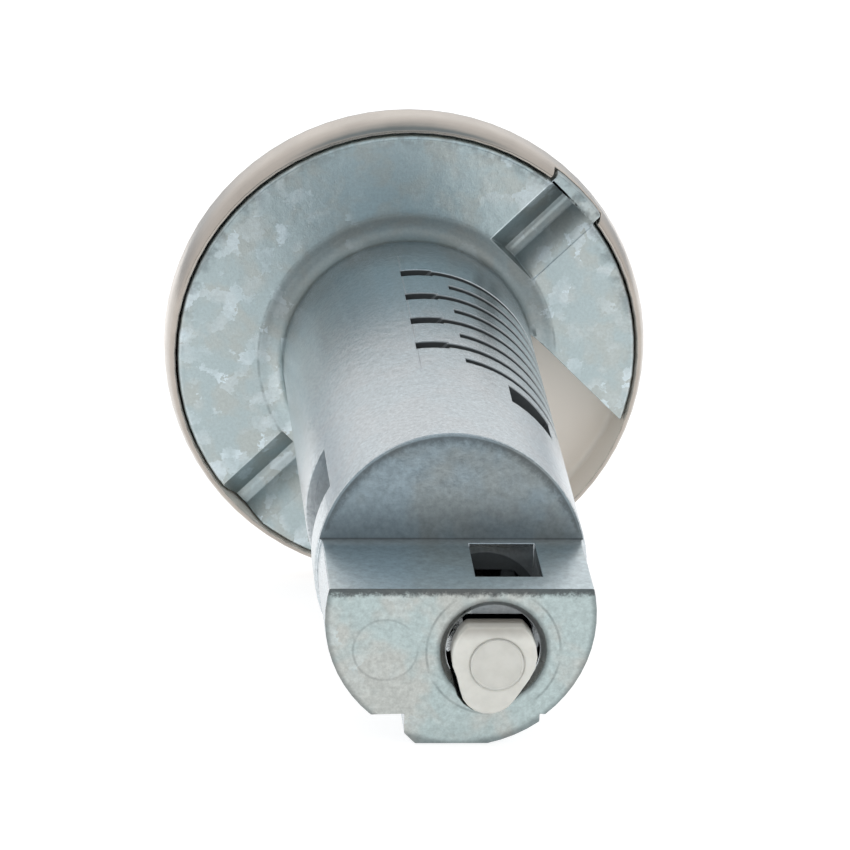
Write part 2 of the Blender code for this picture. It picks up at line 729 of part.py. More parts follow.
def wafer_outline(side):
    """Wafer seen along the lock: crowned ends, a shoulder with an arm over the spring, and a bar notch.

    The notch faces the side bar on every wafer; the arm is on the spring's side.
    """
    crown = BARREL_RADIUS - WAFER_CROWN_DEPTH
    shoulder = BARREL_RADIUS - WAFER_SHOULDER_DEPTH
    foot = crown - WAFER_TRAVEL / 2
    edge = WAFER_HALF_WIDTH
    shoulder_start = edge - SEAT_GAP / 3
    shoulder_end = edge + WAFER_SHOULDER
    arm_end = SPRING_LINE + WAFER_ARM_OVERHANG

    def rim(radius, y):
        return math.sqrt(radius * radius - y * y)

    spread = [edge * (i / 4 - 1) for i in range(8)]
    arm_side = [(rim(crown, y), y) for y in spread]
    arm_side += [
        (rim(crown, shoulder_start), shoulder_start),
        (rim(shoulder, shoulder_start), shoulder_start),
        (rim(shoulder, shoulder_end), shoulder_end),
        (arm_height(), shoulder_end),
        (arm_height(), arm_end),
        (arm_height() - WAFER_ARM, arm_end),
        (arm_height() - WAFER_ARM, edge),
    ]
    foot_side = [(-rim(foot, y), -y) for y in spread]
    foot_side.append((-rim(foot, edge), -edge))
    low = -BAR_RIDGE / 2 - SEAT_GAP
    high = BAR_RIDGE / 2 + SEAT_GAP + WAFER_TRAVEL
    notch = [(low, -edge), (low, WAFER_NOTCH_DEPTH - edge), (high, WAFER_NOTCH_DEPTH - edge), (high, -edge)]
    if side > 0:
        return arm_side + foot_side + notch
    arm_side = [(x, -y) for x, y in reversed(arm_side)]
    foot_side = [(x, -y) for x, y in reversed(foot_side)]
    return foot_side + notch + arm_side


def arm_height():
    """How far the top of a wafer's arm lies from the lock's axis, along the wing line."""
    return math.sqrt(BARREL_RADIUS**2 - SPRING_LINE**2) - WAFER_ARM_DEPTH


def make_wafer(number, height, side, step, wing, brass, spring_steel):
    """One wafer with its key window, standing on the slide's axis, and the spring under its arm."""
    slide = make_empty(f"wafer_slide_{number}", wing, (0, 0, height))
    half = WAFER_THICKNESS / 2
    name = f"wafer_{number}"
    mesh = plate_mesh(name, wafer_outline(side), -half, half)
    wafer = place(name, mesh, slide, brass)
    rise = step * KEY_STEP
    low = rise - KEY_SLOT_HEIGHT / 2
    high = low + KEY_SLOT_HEIGHT - WAFER_TRAVEL
    width = KEY_SLOT_WIDTH / 2 + RUNNING_GAP
    opening = box_mesh("key_window", (low, -width, -OVERSHOOT), (high, width, OVERSHOOT))
    combine(wafer, [place(f"key_window_{number}", opening, slide)])
    low = POCKET_FLOOR + WAFER_WIRE + SEAT_GAP / 2
    high = arm_height() - WAFER_ARM - WAFER_WIRE - SEAT_GAP / 2
    name = f"wafer_spring_{number}"
    spring = wire_mesh(name, coil(WAFER_SPRING_RADIUS, low, high, WAFER_SPRING_TURNS), WAFER_WIRE)
    stand_along(spring, (0, side * SPRING_LINE, 0), (1, 0, 0))
    place(name, spring, slide, spring_steel)


def make_side_bar(wing, brass, spring_steel):
    """Side bar that reaches out of the barrel, its ridge towards the wafers and a spring under each end."""
    start, end = bar_ends()
    half = BAR_THICKNESS / 2
    foot = bar_foot()
    crown = BARREL_RADIUS + BAR_PROUD
    ridge = BAR_RIDGE / 2
    tip = WAFER_HALF_WIDTH + SEAT_GAP
    slope = BAR_THICKNESS / 4
    outline = [
        (-half + slope, -crown),
        (half - slope, -crown),
        (half, slope - crown),
        (half, -foot),
        (-half, -foot),
        (-half, slope - crown),
    ]
    bar = place("side_bar", plate_mesh("side_bar", outline, start, end), wing, brass)
    blade = box_mesh(
        "bar_ridge",
        (-ridge, -foot - SEAT_GAP, FIRST_WAFER - SLOT_LENGTH),
        (ridge, -tip, LAST_WAFER + SLOT_LENGTH),
    )
    combine(bar, [place("bar_ridge", blade, wing)], "UNION")
    floor = foot - BAR_TRAVEL - RUNNING_GAP
    low = floor - BAR_SPRING_POCKET + BAR_WIRE + SEAT_GAP / 2
    high = foot - BAR_WIRE - SEAT_GAP / 2
    for number, height in enumerate(bar_spring_places(), 1):
        name = f"side_bar_spring_{number}"
        spring = wire_mesh(name, coil(BAR_SPRING_RADIUS, low, high, BAR_SPRING_TURNS), BAR_WIRE)
        stand_along(spring, (0, 0, height), (0, -1, 0))
        place(name, spring, wing, spring_steel)


def make_shutter(wing, steel, spring_steel):
    """Dust shutter on its pin, with a torsion spring that holds it shut."""
    hinge = make_empty("shutter_hinge", wing, (0, SHUTTER_PIN_OFFSET, PIN_DEPTH))
    front = -KNUCKLE_RADIUS
    back = front + SHUTTER_THICKNESS
    wing_top = -KNUCKLE_RADIUS - SEAT_GAP
    outline = [
        (KNUCKLE_HALF_LENGTH, 0),
        (-KNUCKLE_HALF_LENGTH, 0),
        (-KNUCKLE_HALF_LENGTH, wing_top),
        (-SHUTTER_HALF_LENGTH, wing_top),
        (-SHUTTER_HALF_LENGTH, -SHUTTER_REACH),
        (SHUTTER_HALF_LENGTH, -SHUTTER_REACH),
        (SHUTTER_HALF_LENGTH, wing_top),
        (KNUCKLE_HALF_LENGTH, wing_top),
    ]
    shutter = place("key_shutter", plate_mesh("key_shutter", outline, front, back), hinge, steel)
    hole = SHUTTER_PIN_RADIUS + RUNNING_GAP
    knuckle = turned_mesh("knuckle", [
        (0, KNUCKLE_HALF_LENGTH),
        (KNUCKLE_RADIUS, KNUCKLE_HALF_LENGTH),
        (KNUCKLE_RADIUS, -KNUCKLE_HALF_LENGTH),
        (0, -KNUCKLE_HALF_LENGTH),
    ], PIN_STEPS)
    stand_along(knuckle, (0, 0, 0), (1, 0, 0))
    combine(shutter, [place("knuckle", knuckle, hinge)], "UNION")
    bore = turned_mesh("knuckle_bore", [
        (0, SHUTTER_HALF_LENGTH),
        (hole, SHUTTER_HALF_LENGTH),
        (hole, -SHUTTER_HALF_LENGTH),
        (0, -SHUTTER_HALF_LENGTH),
    ], PIN_STEPS)
    stand_along(bore, (0, 0, 0), (1, 0, 0))
    combine(shutter, [place("knuckle_bore", bore, hinge)])
    reach = SHUTTER_PIN_HALF_LENGTH
    pin = turned_mesh("shutter_pin", [
        (0, reach),
        (SHUTTER_PIN_RADIUS, reach),
        (SHUTTER_PIN_RADIUS, -reach),
        (0, -reach),
    ], PIN_STEPS)
    stand_along(pin, (0, 0, 0), (1, 0, 0))
    place("shutter_pin", pin, hinge, spring_steel)
    make_shutter_spring(hinge, spring_steel)


def make_shutter_spring(hinge, spring_steel):
    """Torsion spring round the pin: one leg lies behind the shutter, the other in the pocket's corner."""
    radius = SHUTTER_PIN_RADIUS + SHUTTER_WIRE + SEAT_GAP / 2
    start = KNUCKLE_HALF_LENGTH + SHUTTER_WIRE + SEAT_GAP
    pitch = 3 * SHUTTER_WIRE
    leg_height = SHUTTER_THICKNESS + 2 * SHUTTER_WIRE - KNUCKLE_RADIUS
    points = [(start, -SHUTTER_SPRING_LEG, leg_height)]
    for i in range(SHUTTER_SPRING_TURNS * WIRE_STEPS + 1):
        turn = i / WIRE_STEPS
        angle = math.pi / 2 - 2 * math.pi * turn
        points.append((start + pitch * turn, radius * math.cos(angle), radius * math.sin(angle)))
    points.append((points[-1][0], radius + SHUTTER_WIRE, SHUTTER_SPRING_TAIL))
    mesh = wire_mesh("shutter_spring", points, SHUTTER_WIRE)
    place("shutter_spring", mesh, hinge, spring_steel)


def make_plunger(lock, nylon, spring_steel):
    """White plunger: keyed head with a shallow dish, a shank in the guide hole and a spring round it."""
    slide = make_empty("plunger_slide", lock)
    tip = LOCK_END + PLUNGER_PROUD
    shoulder = tip - PLUNGER_HEAD
    floor = LOCK_END - BORE_DEPTH
    head = plate_mesh("key_plunger", plunger_outline(0), shoulder, tip)
    plunger = place("key_plunger", head, slide, nylon)
    tail = floor - GUIDE_DEPTH + PLUNGER_TRAVEL + SEAT_GAP
    shank = turned_mesh("plunger_shank", [
        (0, shoulder + OVERSHOOT),
        (SHANK_RADIUS, shoulder + OVERSHOOT),
        (SHANK_RADIUS, tail + SEAT_GAP),
        (SHANK_RADIUS - SEAT_GAP, tail),
        (0, tail),
    ], PIN_STEPS)
    shank.transform(Matrix.Translation((BORE_X, BORE_Y, 0)))
    combine(plunger, [place("plunger_shank", shank, slide)], "UNION")
    dish = turned_mesh("plunger_dish", [
        (0, tip + OVERSHOOT),
        (PLUNGER_DISH_RADIUS, tip + OVERSHOOT),
        (PLUNGER_DISH_RADIUS, tip - PLUNGER_DISH_DEPTH),
        (0, tip - PLUNGER_DISH_DEPTH),
    ], BORE_STEPS)
    dish.transform(Matrix.Translation((BORE_X + PLUNGER_DISH_X, BORE_Y + PLUNGER_DISH_Y, 0)))
    combine(plunger, [place("plunger_dish", dish, slide)])
    low = floor + PLUNGER_WIRE + SEAT_GAP / 2
    high = shoulder - PLUNGER_WIRE - SEAT_GAP / 2
    points = coil(PLUNGER_SPRING_RADIUS, low, high, PLUNGER_SPRING_TURNS, 2 * WIRE_STEPS)
    spring = wire_mesh("plunger_spring", points, PLUNGER_WIRE)
    spring.transform(Matrix.Translation((BORE_X, BORE_Y, 0)))
    place("plunger_spring", spring, slide, spring_steel)


def lay_down(lock):
    """Lay the lock on the ground plane, heel and cap rim down, its box centred over the origin."""
    drop = CAP_RADIUS - HEEL_REACH
    tilt = math.atan2(drop, LOCK_END - CAP_LIP + CAP_WALL / 2)
    lock.rotation_euler = (math.radians(90) + tilt, 0, 0)
    bpy.context.view_layer.update()
    graph = bpy.context.evaluated_depsgraph_get()
    low = Vector((math.inf,) * 3)
    high = Vector((-math.inf,) * 3)
    for piece in parts.objects:
        if piece.type != "MESH":
            continue
        seen = piece.evaluated_get(graph)
        for vertex in seen.data.vertices:
            point = seen.matrix_world @ vertex.co
            low = Vector(map(min, low, point))
            high = Vector(map(max, high, point))
    lock.location = (-(low.x + high.x) / 2, -(low.y + high.y) / 2, -low.z)
    bpy.context.view_layer.update()


def build():
    """Make every piece of the lock and lay it down."""
    zinc = make_material("zinc_casting", (0.50, 0.55, 0.57), 0.45, 0.85)
    steel = make_material("stainless_steel", (0.66, 0.62, 0.57), 0.28, 1.0)
    brass = make_material("wafer_brass", (0.62, 0.48, 0.24), 0.40, 1.0)
    spring_steel = make_material("spring_wire", (0.42, 0.42, 0.42), 0.35, 1.0)
    nylon = make_material("white_nylon", (0.78, 0.78, 0.74), 0.45, 0.0)
    lock = make_empty("lock_axis", None)
    wing = make_empty("wing_line", lock, turn=WING_ANGLE)
    make_plug(lock, wing, zinc)
    make_cap(lock, wing, steel)
    for number, (height, side) in enumerate(wafer_places(), 1):
        step = KEY_STEPS[(number - 1) % len(KEY_STEPS)]
        make_wafer(number, height, side, step, wing, brass, spring_steel)
    make_side_bar(wing, brass, spring_steel)
    make_shutter(wing, steel, spring_steel)
    make_plunger(lock, nylon, spring_steel)
    add_booleans()
    lay_down(lock)


clear_scene()
parts = make_collection("ignition_lock_cylinder")
cutters = make_collection("cutters")
boolean_steps = []
build()
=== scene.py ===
"""Looks of an ignition lock cylinder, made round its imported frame.

Lengths are metres, unless a name ends in _MM.
"""
import json
import math

import bmesh
import bpy
import numpy as np
from mathutils import Matrix, Vector

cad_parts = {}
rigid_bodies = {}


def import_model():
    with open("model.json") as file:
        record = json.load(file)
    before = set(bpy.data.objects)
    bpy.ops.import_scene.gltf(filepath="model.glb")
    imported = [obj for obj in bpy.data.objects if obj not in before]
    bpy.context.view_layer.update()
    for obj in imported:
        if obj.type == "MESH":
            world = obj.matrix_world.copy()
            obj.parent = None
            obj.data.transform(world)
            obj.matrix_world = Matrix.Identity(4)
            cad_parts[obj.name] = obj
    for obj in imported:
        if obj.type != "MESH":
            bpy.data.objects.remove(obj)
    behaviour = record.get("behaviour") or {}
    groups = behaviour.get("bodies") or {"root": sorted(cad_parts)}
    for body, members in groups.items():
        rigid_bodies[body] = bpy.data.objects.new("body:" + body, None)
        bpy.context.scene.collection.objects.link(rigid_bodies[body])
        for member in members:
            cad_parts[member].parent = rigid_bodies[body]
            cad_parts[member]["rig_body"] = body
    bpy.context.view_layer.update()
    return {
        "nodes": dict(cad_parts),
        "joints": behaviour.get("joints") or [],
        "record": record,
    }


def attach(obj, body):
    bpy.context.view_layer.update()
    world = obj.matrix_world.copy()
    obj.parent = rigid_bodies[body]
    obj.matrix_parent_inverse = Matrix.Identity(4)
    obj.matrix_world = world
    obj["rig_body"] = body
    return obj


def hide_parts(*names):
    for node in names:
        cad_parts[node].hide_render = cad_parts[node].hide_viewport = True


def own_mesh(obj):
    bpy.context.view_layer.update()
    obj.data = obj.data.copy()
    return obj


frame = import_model()

MM = 0.001

# The lock's own axes: across, up over the drive flat, and along from the flange to the drive end
FLANGE_MOUNT_RADIUS = 0.0145
FLANGE_MOUNT_TURN = math.radians(135)

# Casting, in the lock's millimetres
BARREL_END_MM = 46.63
LOCK_END_MM = 56.48
BARREL_RADIUS_MM = 9.84
DRIVE_FLAT_MM = 2.2
STEP_LEAN = math.radians(9.4)
LOCK_AXIS_MM = (0.0, 0.0, 1.0)
BORE_MM = (2.36, -2.52, 1.0)
CAP_RIM_MM = (0.0, 0.0, 16.6)
ROOT_MM = (9.87, 1.11)
RIM_MM = (17.7, 18.02)
RIM_GROWTH_MM = 0.13
DISH_MM = (2.54, -3.02)
DISH_FLOOR_MM = 57.48

# Cap, in the lock's millimetres
CAP_INSIDE_MM = 18.3
CAP_OUTSIDE_MM = 19.1
CAP_LIP_MM = -0.1
CAP_FLOOR_MM = -4.5
ROLL_END_MM = -2.6
ROLL_DEPTH_MM = 0.45
ROLL_CUTS_MM = (-0.75, -1.05, -1.4, -1.8, -2.2, ROLL_END_MM)
FOOT_MERGE_MM = 0.12

# Where the casting's marks lie, in the lock's millimetres
SLOTS_START_MM = 2.6
SLOTS_END_MM = 34.4
SIDE_WINDOW_END_MM = 44.6
WITNESS_RING_MM = 11.75
PIN_MARK_MM = (-5.3, -2.4)
PIN_MARK_RADIUS_MM = 2.28
CORE_RING_MM = 4.75
DISH_RAISE_MM = 0.17

# Merging, rounding and smoothing of copied nodes
MERGE = 2e-6
ONE_PLANE = math.radians(0.8)
SHARP = math.radians(28)
EAR_SHARP = math.radians(40)
TURN_SLACK = math.sin(math.radians(5.5))
RING_SLACK_MM = 0.02

# Camera, in the lock's millimetres
CAMERA_MM = (-34.735, 154.896, 447.727)
VIEW_LINE = (0.0762, -0.3369, -0.9385)
IMAGE_RIGHT = (0.99709, 0.02840, 0.07074)
LENS = 254.1
SENSOR = 36.0

# Colours of dirt and wear, and of painted shade
# Near-black that each region's marks blend to: painted shade in slots, windows, bore, grooves and corners,
# and real marks such as the parting line
SHADE_AND_GRIME = (0.055, 0.062, 0.066, 1)
PIT_SHADE = (0.16, 0.17, 0.18, 1)
SPECK = (0.12, 0.12, 0.12, 1)
STEEL_SPECK = (0.12, 0.11, 0.1, 1)
WORN_ZINC = (0.75, 0.79, 0.81, 1)
WORN_STEEL = (0.85, 0.82, 0.78, 1)
WORN_BRASS = (0.9, 0.76, 0.5, 1)
# Dark brass for painted shade on the wafers where they reach into the slots
BRASS_SLOT_SHADE = (0.06, 0.055, 0.045, 1)
# Dark tone for painted shade on the plunger where it sinks into its bore
NYLON_SHADE = (0.13, 0.11, 0.085, 1)

# Base, warm and pale tone of each region of the casting
BARREL_TONES = ((0.59, 0.645, 0.675, 1), (0.61, 0.64, 0.66, 1), (0.64, 0.68, 0.7, 1))
FLANGE_TONES = ((0.42, 0.5, 0.515, 1), (0.45, 0.48, 0.46, 1), (0.7, 0.8, 0.85, 1))
STEP_TONES = ((0.4, 0.49, 0.54, 1), (0.41, 0.44, 0.43, 1), (0.5, 0.58, 0.62, 1))
FLAT_TONES = ((0.62, 0.7, 0.73, 1), (0.6, 0.65, 0.65, 1), (0.64, 0.72, 0.76, 1))
REAR_TONES = ((0.43, 0.51, 0.51, 1), (0.5, 0.495, 0.465, 1), (0.6, 0.7, 0.72, 1))

# Other metals, the nylon, and what the metal mirrors
STEEL = (0.66, 0.6, 0.54, 1)
# Pale, nearly white tone painted inside the cap, standing in for light bounced in from the floor
CAP_INSIDE_LIT_TONE = (1.0, 0.93, 0.85, 1)
BRASS = (0.62, 0.48, 0.24, 1)
WIRE_TONES = ((0.5, 0.5, 0.49, 1), (0.3, 0.28, 0.26, 1))
NYLON_TONES = ((0.82, 0.82, 0.77, 1), (0.76, 0.76, 0.71, 1))
ROOM_WHITE = (0.95, 0.95, 0.95, 1)
ROOM_PATCH = (0.34, 0.42, 0.475, 1)
ROOM_FRONT = (0.42, 0.46, 0.5, 1)

# How wide the edges of each piece are rounded
CASTING_EDGE = 0.00009
CAP_EDGE = 0.00008
SHUTTER_EDGE = 0.00006
PLUNGER_EDGE = 0.00018
BAR_EDGE = 0.00015
PIN_EDGE = 0.0001
WAFER_EDGE = 0.00005


def lock_frame():
    """Matrix of the lock's frame in the row frame, from the two mounts that lie square to its axis."""
    mounts = {mount["name"]: mount for mount in frame["record"]["mounts"]}
    along = Vector(mounts["flange_seat"]["axis"]).normalized()
    up = Vector(mounts["drive_flat"]["axis"]).normalized()
    across = up.cross(along)
    side = math.cos(FLANGE_MOUNT_TURN) * across + math.sin(FLANGE_MOUNT_TURN) * up
    origin = Vector(mounts["flange_seat"]["pos_m"]) - FLANGE_MOUNT_RADIUS * side
    return Matrix.Translation(origin) @ Matrix((across, up, along)).transposed().to_4x4()


LOCK = lock_frame()
TO_LOCK_MM = Matrix.Scale(1 / MM, 4) @ LOCK.inverted()


def in_lock_mm(points):
    """Points of the row frame as an array in the lock's frame, in millimetres."""
    turn = np.array(TO_LOCK_MM.to_3x3())
    return points @ turn.T + np.array(TO_LOCK_MM.translation)


def body_of_node(node):
    """Name of the body that a node of the frame rides on."""
    return frame["nodes"][node]["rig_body"]


# Node trees
def add(tree, kind, *values, **settings):
    """Add a node, set its properties, and give each input a value, a socket, or None to leave it."""
    node = tree.nodes.new(kind)
    inputs = settings.pop("inputs", {})
    for name, value in settings.items():
        setattr(node, name, value)
    given = dict(enumerate(values))
    given.update(inputs)
    for key, value in given.items():
        if value is None:
            continue
        socket = node.inputs[key]
        if isinstance(value, bpy.types.NodeSocket):
            tree.links.new(value, socket)
        else:
            socket.default_value = value
    return node


def maths(tree, operation, *values):
    """One step of arithmetic."""
    return add(tree, "ShaderNodeMath", *values, operation=operation).outputs[0]


def ramp(tree, value, low, high):
    """0 below low and 1 above high, with a smooth rise; high may lie below low."""
    node = add(tree, "ShaderNodeMapRange", value, low, high, 0.0, 1.0, interpolation_type="SMOOTHSTEP")
    return node.outputs[0]


def blend_colour(tree, share, first, second):
    """Colour that runs from first to second as share rises."""
    node = add(tree, "ShaderNodeMix", data_type="RGBA",
               inputs={0: share, 6: first, 7: second})
    return node.outputs[2]


def scaled(tree, colour, factor):
    """Colour with its brightness multiplied by factor."""
    node = add(tree, "ShaderNodeVectorMath", operation="SCALE", inputs={"Vector": colour, "Scale": factor})
    return node.outputs[0]


def product(tree, *values):
    """All values multiplied."""
    result = values[0]
    for value in values[1:]:
        result = maths(tree, "MULTIPLY", result, value)
    return result


def total(tree, *values):
    """All values added."""
    result = values[0]
    for value in values[1:]:
        result = maths(tree, "ADD", result, value)
    return result


def largest(tree, *values):
    """The greatest of the values."""
    result = values[0]
    for value in values[1:]:
        result = maths(tree, "MAXIMUM", result, value)
    return result


def less(tree, first, second):
    """First minus second."""
    return maths(tree, "SUBTRACT", first, second)


def length(tree, x, y):
    """Length of the flat vector (x, y)."""
    return maths(tree, "SQRT", total(tree, product(tree, x, x), product(tree, y, y)))


def line_mask(tree, value, centre, half, soft):
    """1 where value lies within half of centre, fading out over soft."""
    off = maths(tree, "ABSOLUTE", less(tree, value, centre))
    return ramp(tree, off, half + soft, half)


def noise(tree, place, scale, detail=2.0, roughness=0.5, distortion=0.0):
    """Fractal noise from 0 to 1 at that many features a unit."""
    node = add(tree, "ShaderNodeTexNoise", inputs={
        "Vector": place, "Scale": scale, "Detail": detail, "Roughness": roughness, "Distortion": distortion})
    return node.outputs["Fac"]


def new_group(name, inputs, outputs):
    """Empty shader group: returns it, its inputs and a function that sets its outputs."""
    tree = bpy.data.node_groups.new(name, "ShaderNodeTree")
    for label, kind, value in inputs:
        socket = tree.interface.new_socket(label, in_out="INPUT", socket_type=kind)
        if value is not None:
            socket.default_value = value
    for label, kind in outputs:
        tree.interface.new_socket(label, in_out="OUTPUT", socket_type=kind)
    inside = tree.nodes.new("NodeGroupInput")
    outside = tree.nodes.new("NodeGroupOutput")

    def give(label, socket):
        tree.links.new(socket, outside.inputs[label])

    return tree, inside.outputs, give


VECTOR = "NodeSocketVector"
NUMBER = "NodeSocketFloat"
COLOUR = "NodeSocketColor"


def make_spangle_group():
    """Zinc plating: warmer and cooler clouds, a few pale crystals with crisp borders, and a fine mottle."""
    tree, given, give = new_group("zinc_spangle", [
        ("Place", VECTOR, None), ("Scale", NUMBER, 0.4), ("Share", NUMBER, 0.5), ("Mottle", NUMBER, 0.2),
        ("Base", COLOUR, None), ("Warm", COLOUR, None), ("Pale", COLOUR, None),
    ], [("Colour", COLOUR), ("Flakes", NUMBER)])
    place = given["Place"]
    scale = given["Scale"]
    wander = add(tree, "ShaderNodeTexNoise", inputs={
        "Vector": place, "Scale": product(tree, scale, 3.0), "Detail": 3.0, "Roughness": 0.6,
    }).outputs["Color"]
    drawn = add(tree, "ShaderNodeVectorMath", operation="MULTIPLY_ADD", inputs={
        0: wander, 1: (1.1, 1.1, 1.1), 2: place}).outputs[0]
    crystal = add(tree, "ShaderNodeTexVoronoi", feature="F1", inputs={
        "Vector": drawn, "Scale": scale}).outputs["Color"]
    tones = add(tree, "ShaderNodeSeparateColor", crystal).outputs
    broad = noise(tree, place, product(tree, scale, 0.4), 3.0, 0.55, 0.3)
    warm = ramp(tree, broad, 0.42, 0.62)
    height = total(tree, product(tree, tones[0], 0.5), product(tree, broad, 0.8))
    least = less(tree, 1.0, product(tree, given["Share"], 0.5))
    flakes = product(tree, ramp(tree, height, least, total(tree, least, 0.3)),
                   total(tree, 0.3, product(tree, tones[2], 0.6)))
    tone = blend_colour(tree, product(tree, warm, 0.7), given["Base"], given["Warm"])
    tone = blend_colour(tree, flakes, tone, given["Pale"])
    fine = noise(tree, place, product(tree, scale, 5.0), 5.0, 0.7)
    swing = product(tree, less(tree, fine, 0.5), product(tree, given["Mottle"], 3.0))
    give("Colour", scaled(tree, tone, total(tree, 1.0, swing)))
    give("Flakes", flakes)
    return tree


def make_grain_group():
    """Skin of a casting: fine grain, shallow pits and soft unevenness as one height."""
    tree, given, give = new_group("cast_grain", [
        ("Place", VECTOR, None), ("Grain", NUMBER, 8.0), ("Pits", NUMBER, 0.5),
    ], [("Height", NUMBER), ("Pits", NUMBER)])
    place = given["Place"]
    fine = noise(tree, place, given["Grain"], 3.0, 0.6)
    soft = noise(tree, place, product(tree, given["Grain"], 0.14), 3.0, 0.5)
    spots = noise(tree, place, product(tree, given["Grain"], 0.42), 2.0, 0.7, 0.3)
    pits = ramp(tree, spots, 0.64, 0.8)
    pits = product(tree, pits, given["Pits"])
    height = total(tree, product(tree, fine, 0.35), soft)
    height = less(tree, height, product(tree, pits, 0.6))
    give("Height", height)
    give("Pits", pits)
    return tree


def make_wear_group():
    """Wear along edges: the mask of rounded edges, broken up by noise."""
    tree, given, give = new_group("edge_wear", [
        ("Place", VECTOR, None), ("Edge", NUMBER, 0.0), ("Amount", NUMBER, 0.5),
    ], [("Wear", NUMBER)])
    rough = noise(tree, given["Place"], 1.7, 4.0, 0.7)
    least = less(tree, 0.75, product(tree, given["Amount"], 0.5))
    broken = ramp(tree, rough, least, total(tree, least, 0.12))
    give("Wear", product(tree, broken, given["Edge"]))
    return tree


def make_dirt_group():
    """Handling marks: small dark specks and faint smears."""
    tree, given, give = new_group("handling_dirt", [
        ("Place", VECTOR, None), ("Amount", NUMBER, 0.5),
    ], [("Specks", NUMBER), ("Smears", NUMBER)])
    spots = noise(tree, given["Place"], 1.3, 3.0, 0.75, 0.4)
    least = less(tree, 0.86, product(tree, given["Amount"], 0.14))
    specks = ramp(tree, spots, least, total(tree, least, 0.04))
    cloud = noise(tree, given["Place"], 0.22, 3.0, 0.55, 1.2)
    give("Specks", specks)
    give("Smears", ramp(tree, cloud, 0.45, 0.75))
    return tree


SPANGLE = make_spangle_group()
GRAIN = make_grain_group()
WEAR = make_wear_group()
DIRT = make_dirt_group()


def new_material(name):
    """Material with one Principled shader, and its place in the lock's millimetres."""
    material = bpy.data.materials.new(name)
    material.use_nodes = True
    tree = material.node_tree
    tree.nodes.clear()
    shader = add(tree, "ShaderNodeBsdfPrincipled")
    out = add(tree, "ShaderNodeOutputMaterial")
    tree.links.new(shader.outputs[0], out.inputs[0])
    spot = add(tree, "ShaderNodeTexCoord").outputs["Object"]
    turn = TO_LOCK_MM.to_3x3().normalized().to_euler()
    place = add(tree, "ShaderNodeMapping", spot, tuple(TO_LOCK_MM.translation), tuple(turn),
                (1 / MM,) * 3, vector_type="POINT").outputs[0]
    return material, tree, shader, place


def use(tree, group, **inputs):
    """Place a shared group and give its named inputs."""
    node = tree.nodes.new("ShaderNodeGroup")
    node.node_tree = group
    for label, value in inputs.items():
        if isinstance(value, bpy.types.NodeSocket):
            tree.links.new(value, node.inputs[label])
        else:
            node.inputs[label].default_value = value
    return node.outputs


def edge_mask(tree):
    """1 along the middle of a rounded edge."""
    return add(tree, "ShaderNodeAttribute", attribute_name="edge").outputs["Fac"]


def split(tree, place):
    """The three coordinates and the distance from the lock's axis."""
    parts = add(tree, "ShaderNodeSeparateXYZ", place).outputs
    x, y, z = parts
    radius = length(tree, x, y)
    return x, y, z, radius


def bump(tree, height, distance, strength):
    """Normal of a surface whose height varies by that many metres."""
    return add(tree, "ShaderNodeBump", inputs={
        "Strength": strength, "Distance": distance, "Height": height}).outputs[0]


def barrel_marks(tree, place, x, y, z, radius):
    """Painted shade inside slots, windows and the plunger's bore and over the rounded edges in the slots'
    band, and the faint parting line over the slots.
    """
    depth = less(tree, BARREL_RADIUS_MM, radius)
    # Painted shade inside the wafer slots and, more faintly, the side window
    slots = product(tree, ramp(tree, depth, 0.02, 0.12), ramp(tree, z, SLOTS_END_MM, SLOTS_END_MM - 0.2),
                    ramp(tree, z, SLOTS_START_MM, SLOTS_START_MM + 0.4))
    side = product(tree, ramp(tree, depth, 0.2, 2.0),
                   ramp(tree, z, SIDE_WINDOW_END_MM, SIDE_WINDOW_END_MM - 0.4),
                   ramp(tree, z, SLOTS_END_MM - 0.2, SLOTS_END_MM), 0.25)
    slots = largest(tree, slots, side)
    # Painted shade down the plunger's bore
    from_bore = bore_distance(tree, x, y)
    below_end = less(tree, LOCK_END_MM, z)
    bore = product(tree, ramp(tree, from_bore, 4.15, 3.95), ramp(tree, below_end, 0.45, 1.2))
    below_flat = less(tree, DRIVE_FLAT_MM, y)
    # Painted shade in the window under the drive flat
    window = product(tree, ramp(tree, below_flat, 0.1, 1.5), line_mask(tree, x, 3.5, 2.6, 0.3),
                     ramp(tree, y, -3.5, -2.5), ramp(tree, z, 46.6, 46.9), 0.6)
    across = total(tree, product(tree, x, 0.9914), product(tree, y, 0.1305))
    parting = product(tree, line_mask(tree, across, 0.0, 0.025, 0.06), ramp(tree, y, 8.0, 9.0),
                      ramp(tree, z, 4.0, 6.0), ramp(tree, z, 32.0, 30.0), 0.25)
    # Painted shade over the rounded edges in the slots' band, dimming their glints
    edges = product(tree, edge_mask(tree), ramp(tree, z, 9.2, 9.6), ramp(tree, z, 31.0, 30.6), 0.75)
    dark = largest(tree, slots, bore, window)
    return largest(tree, product(tree, dark, 0.93), parting, edges)


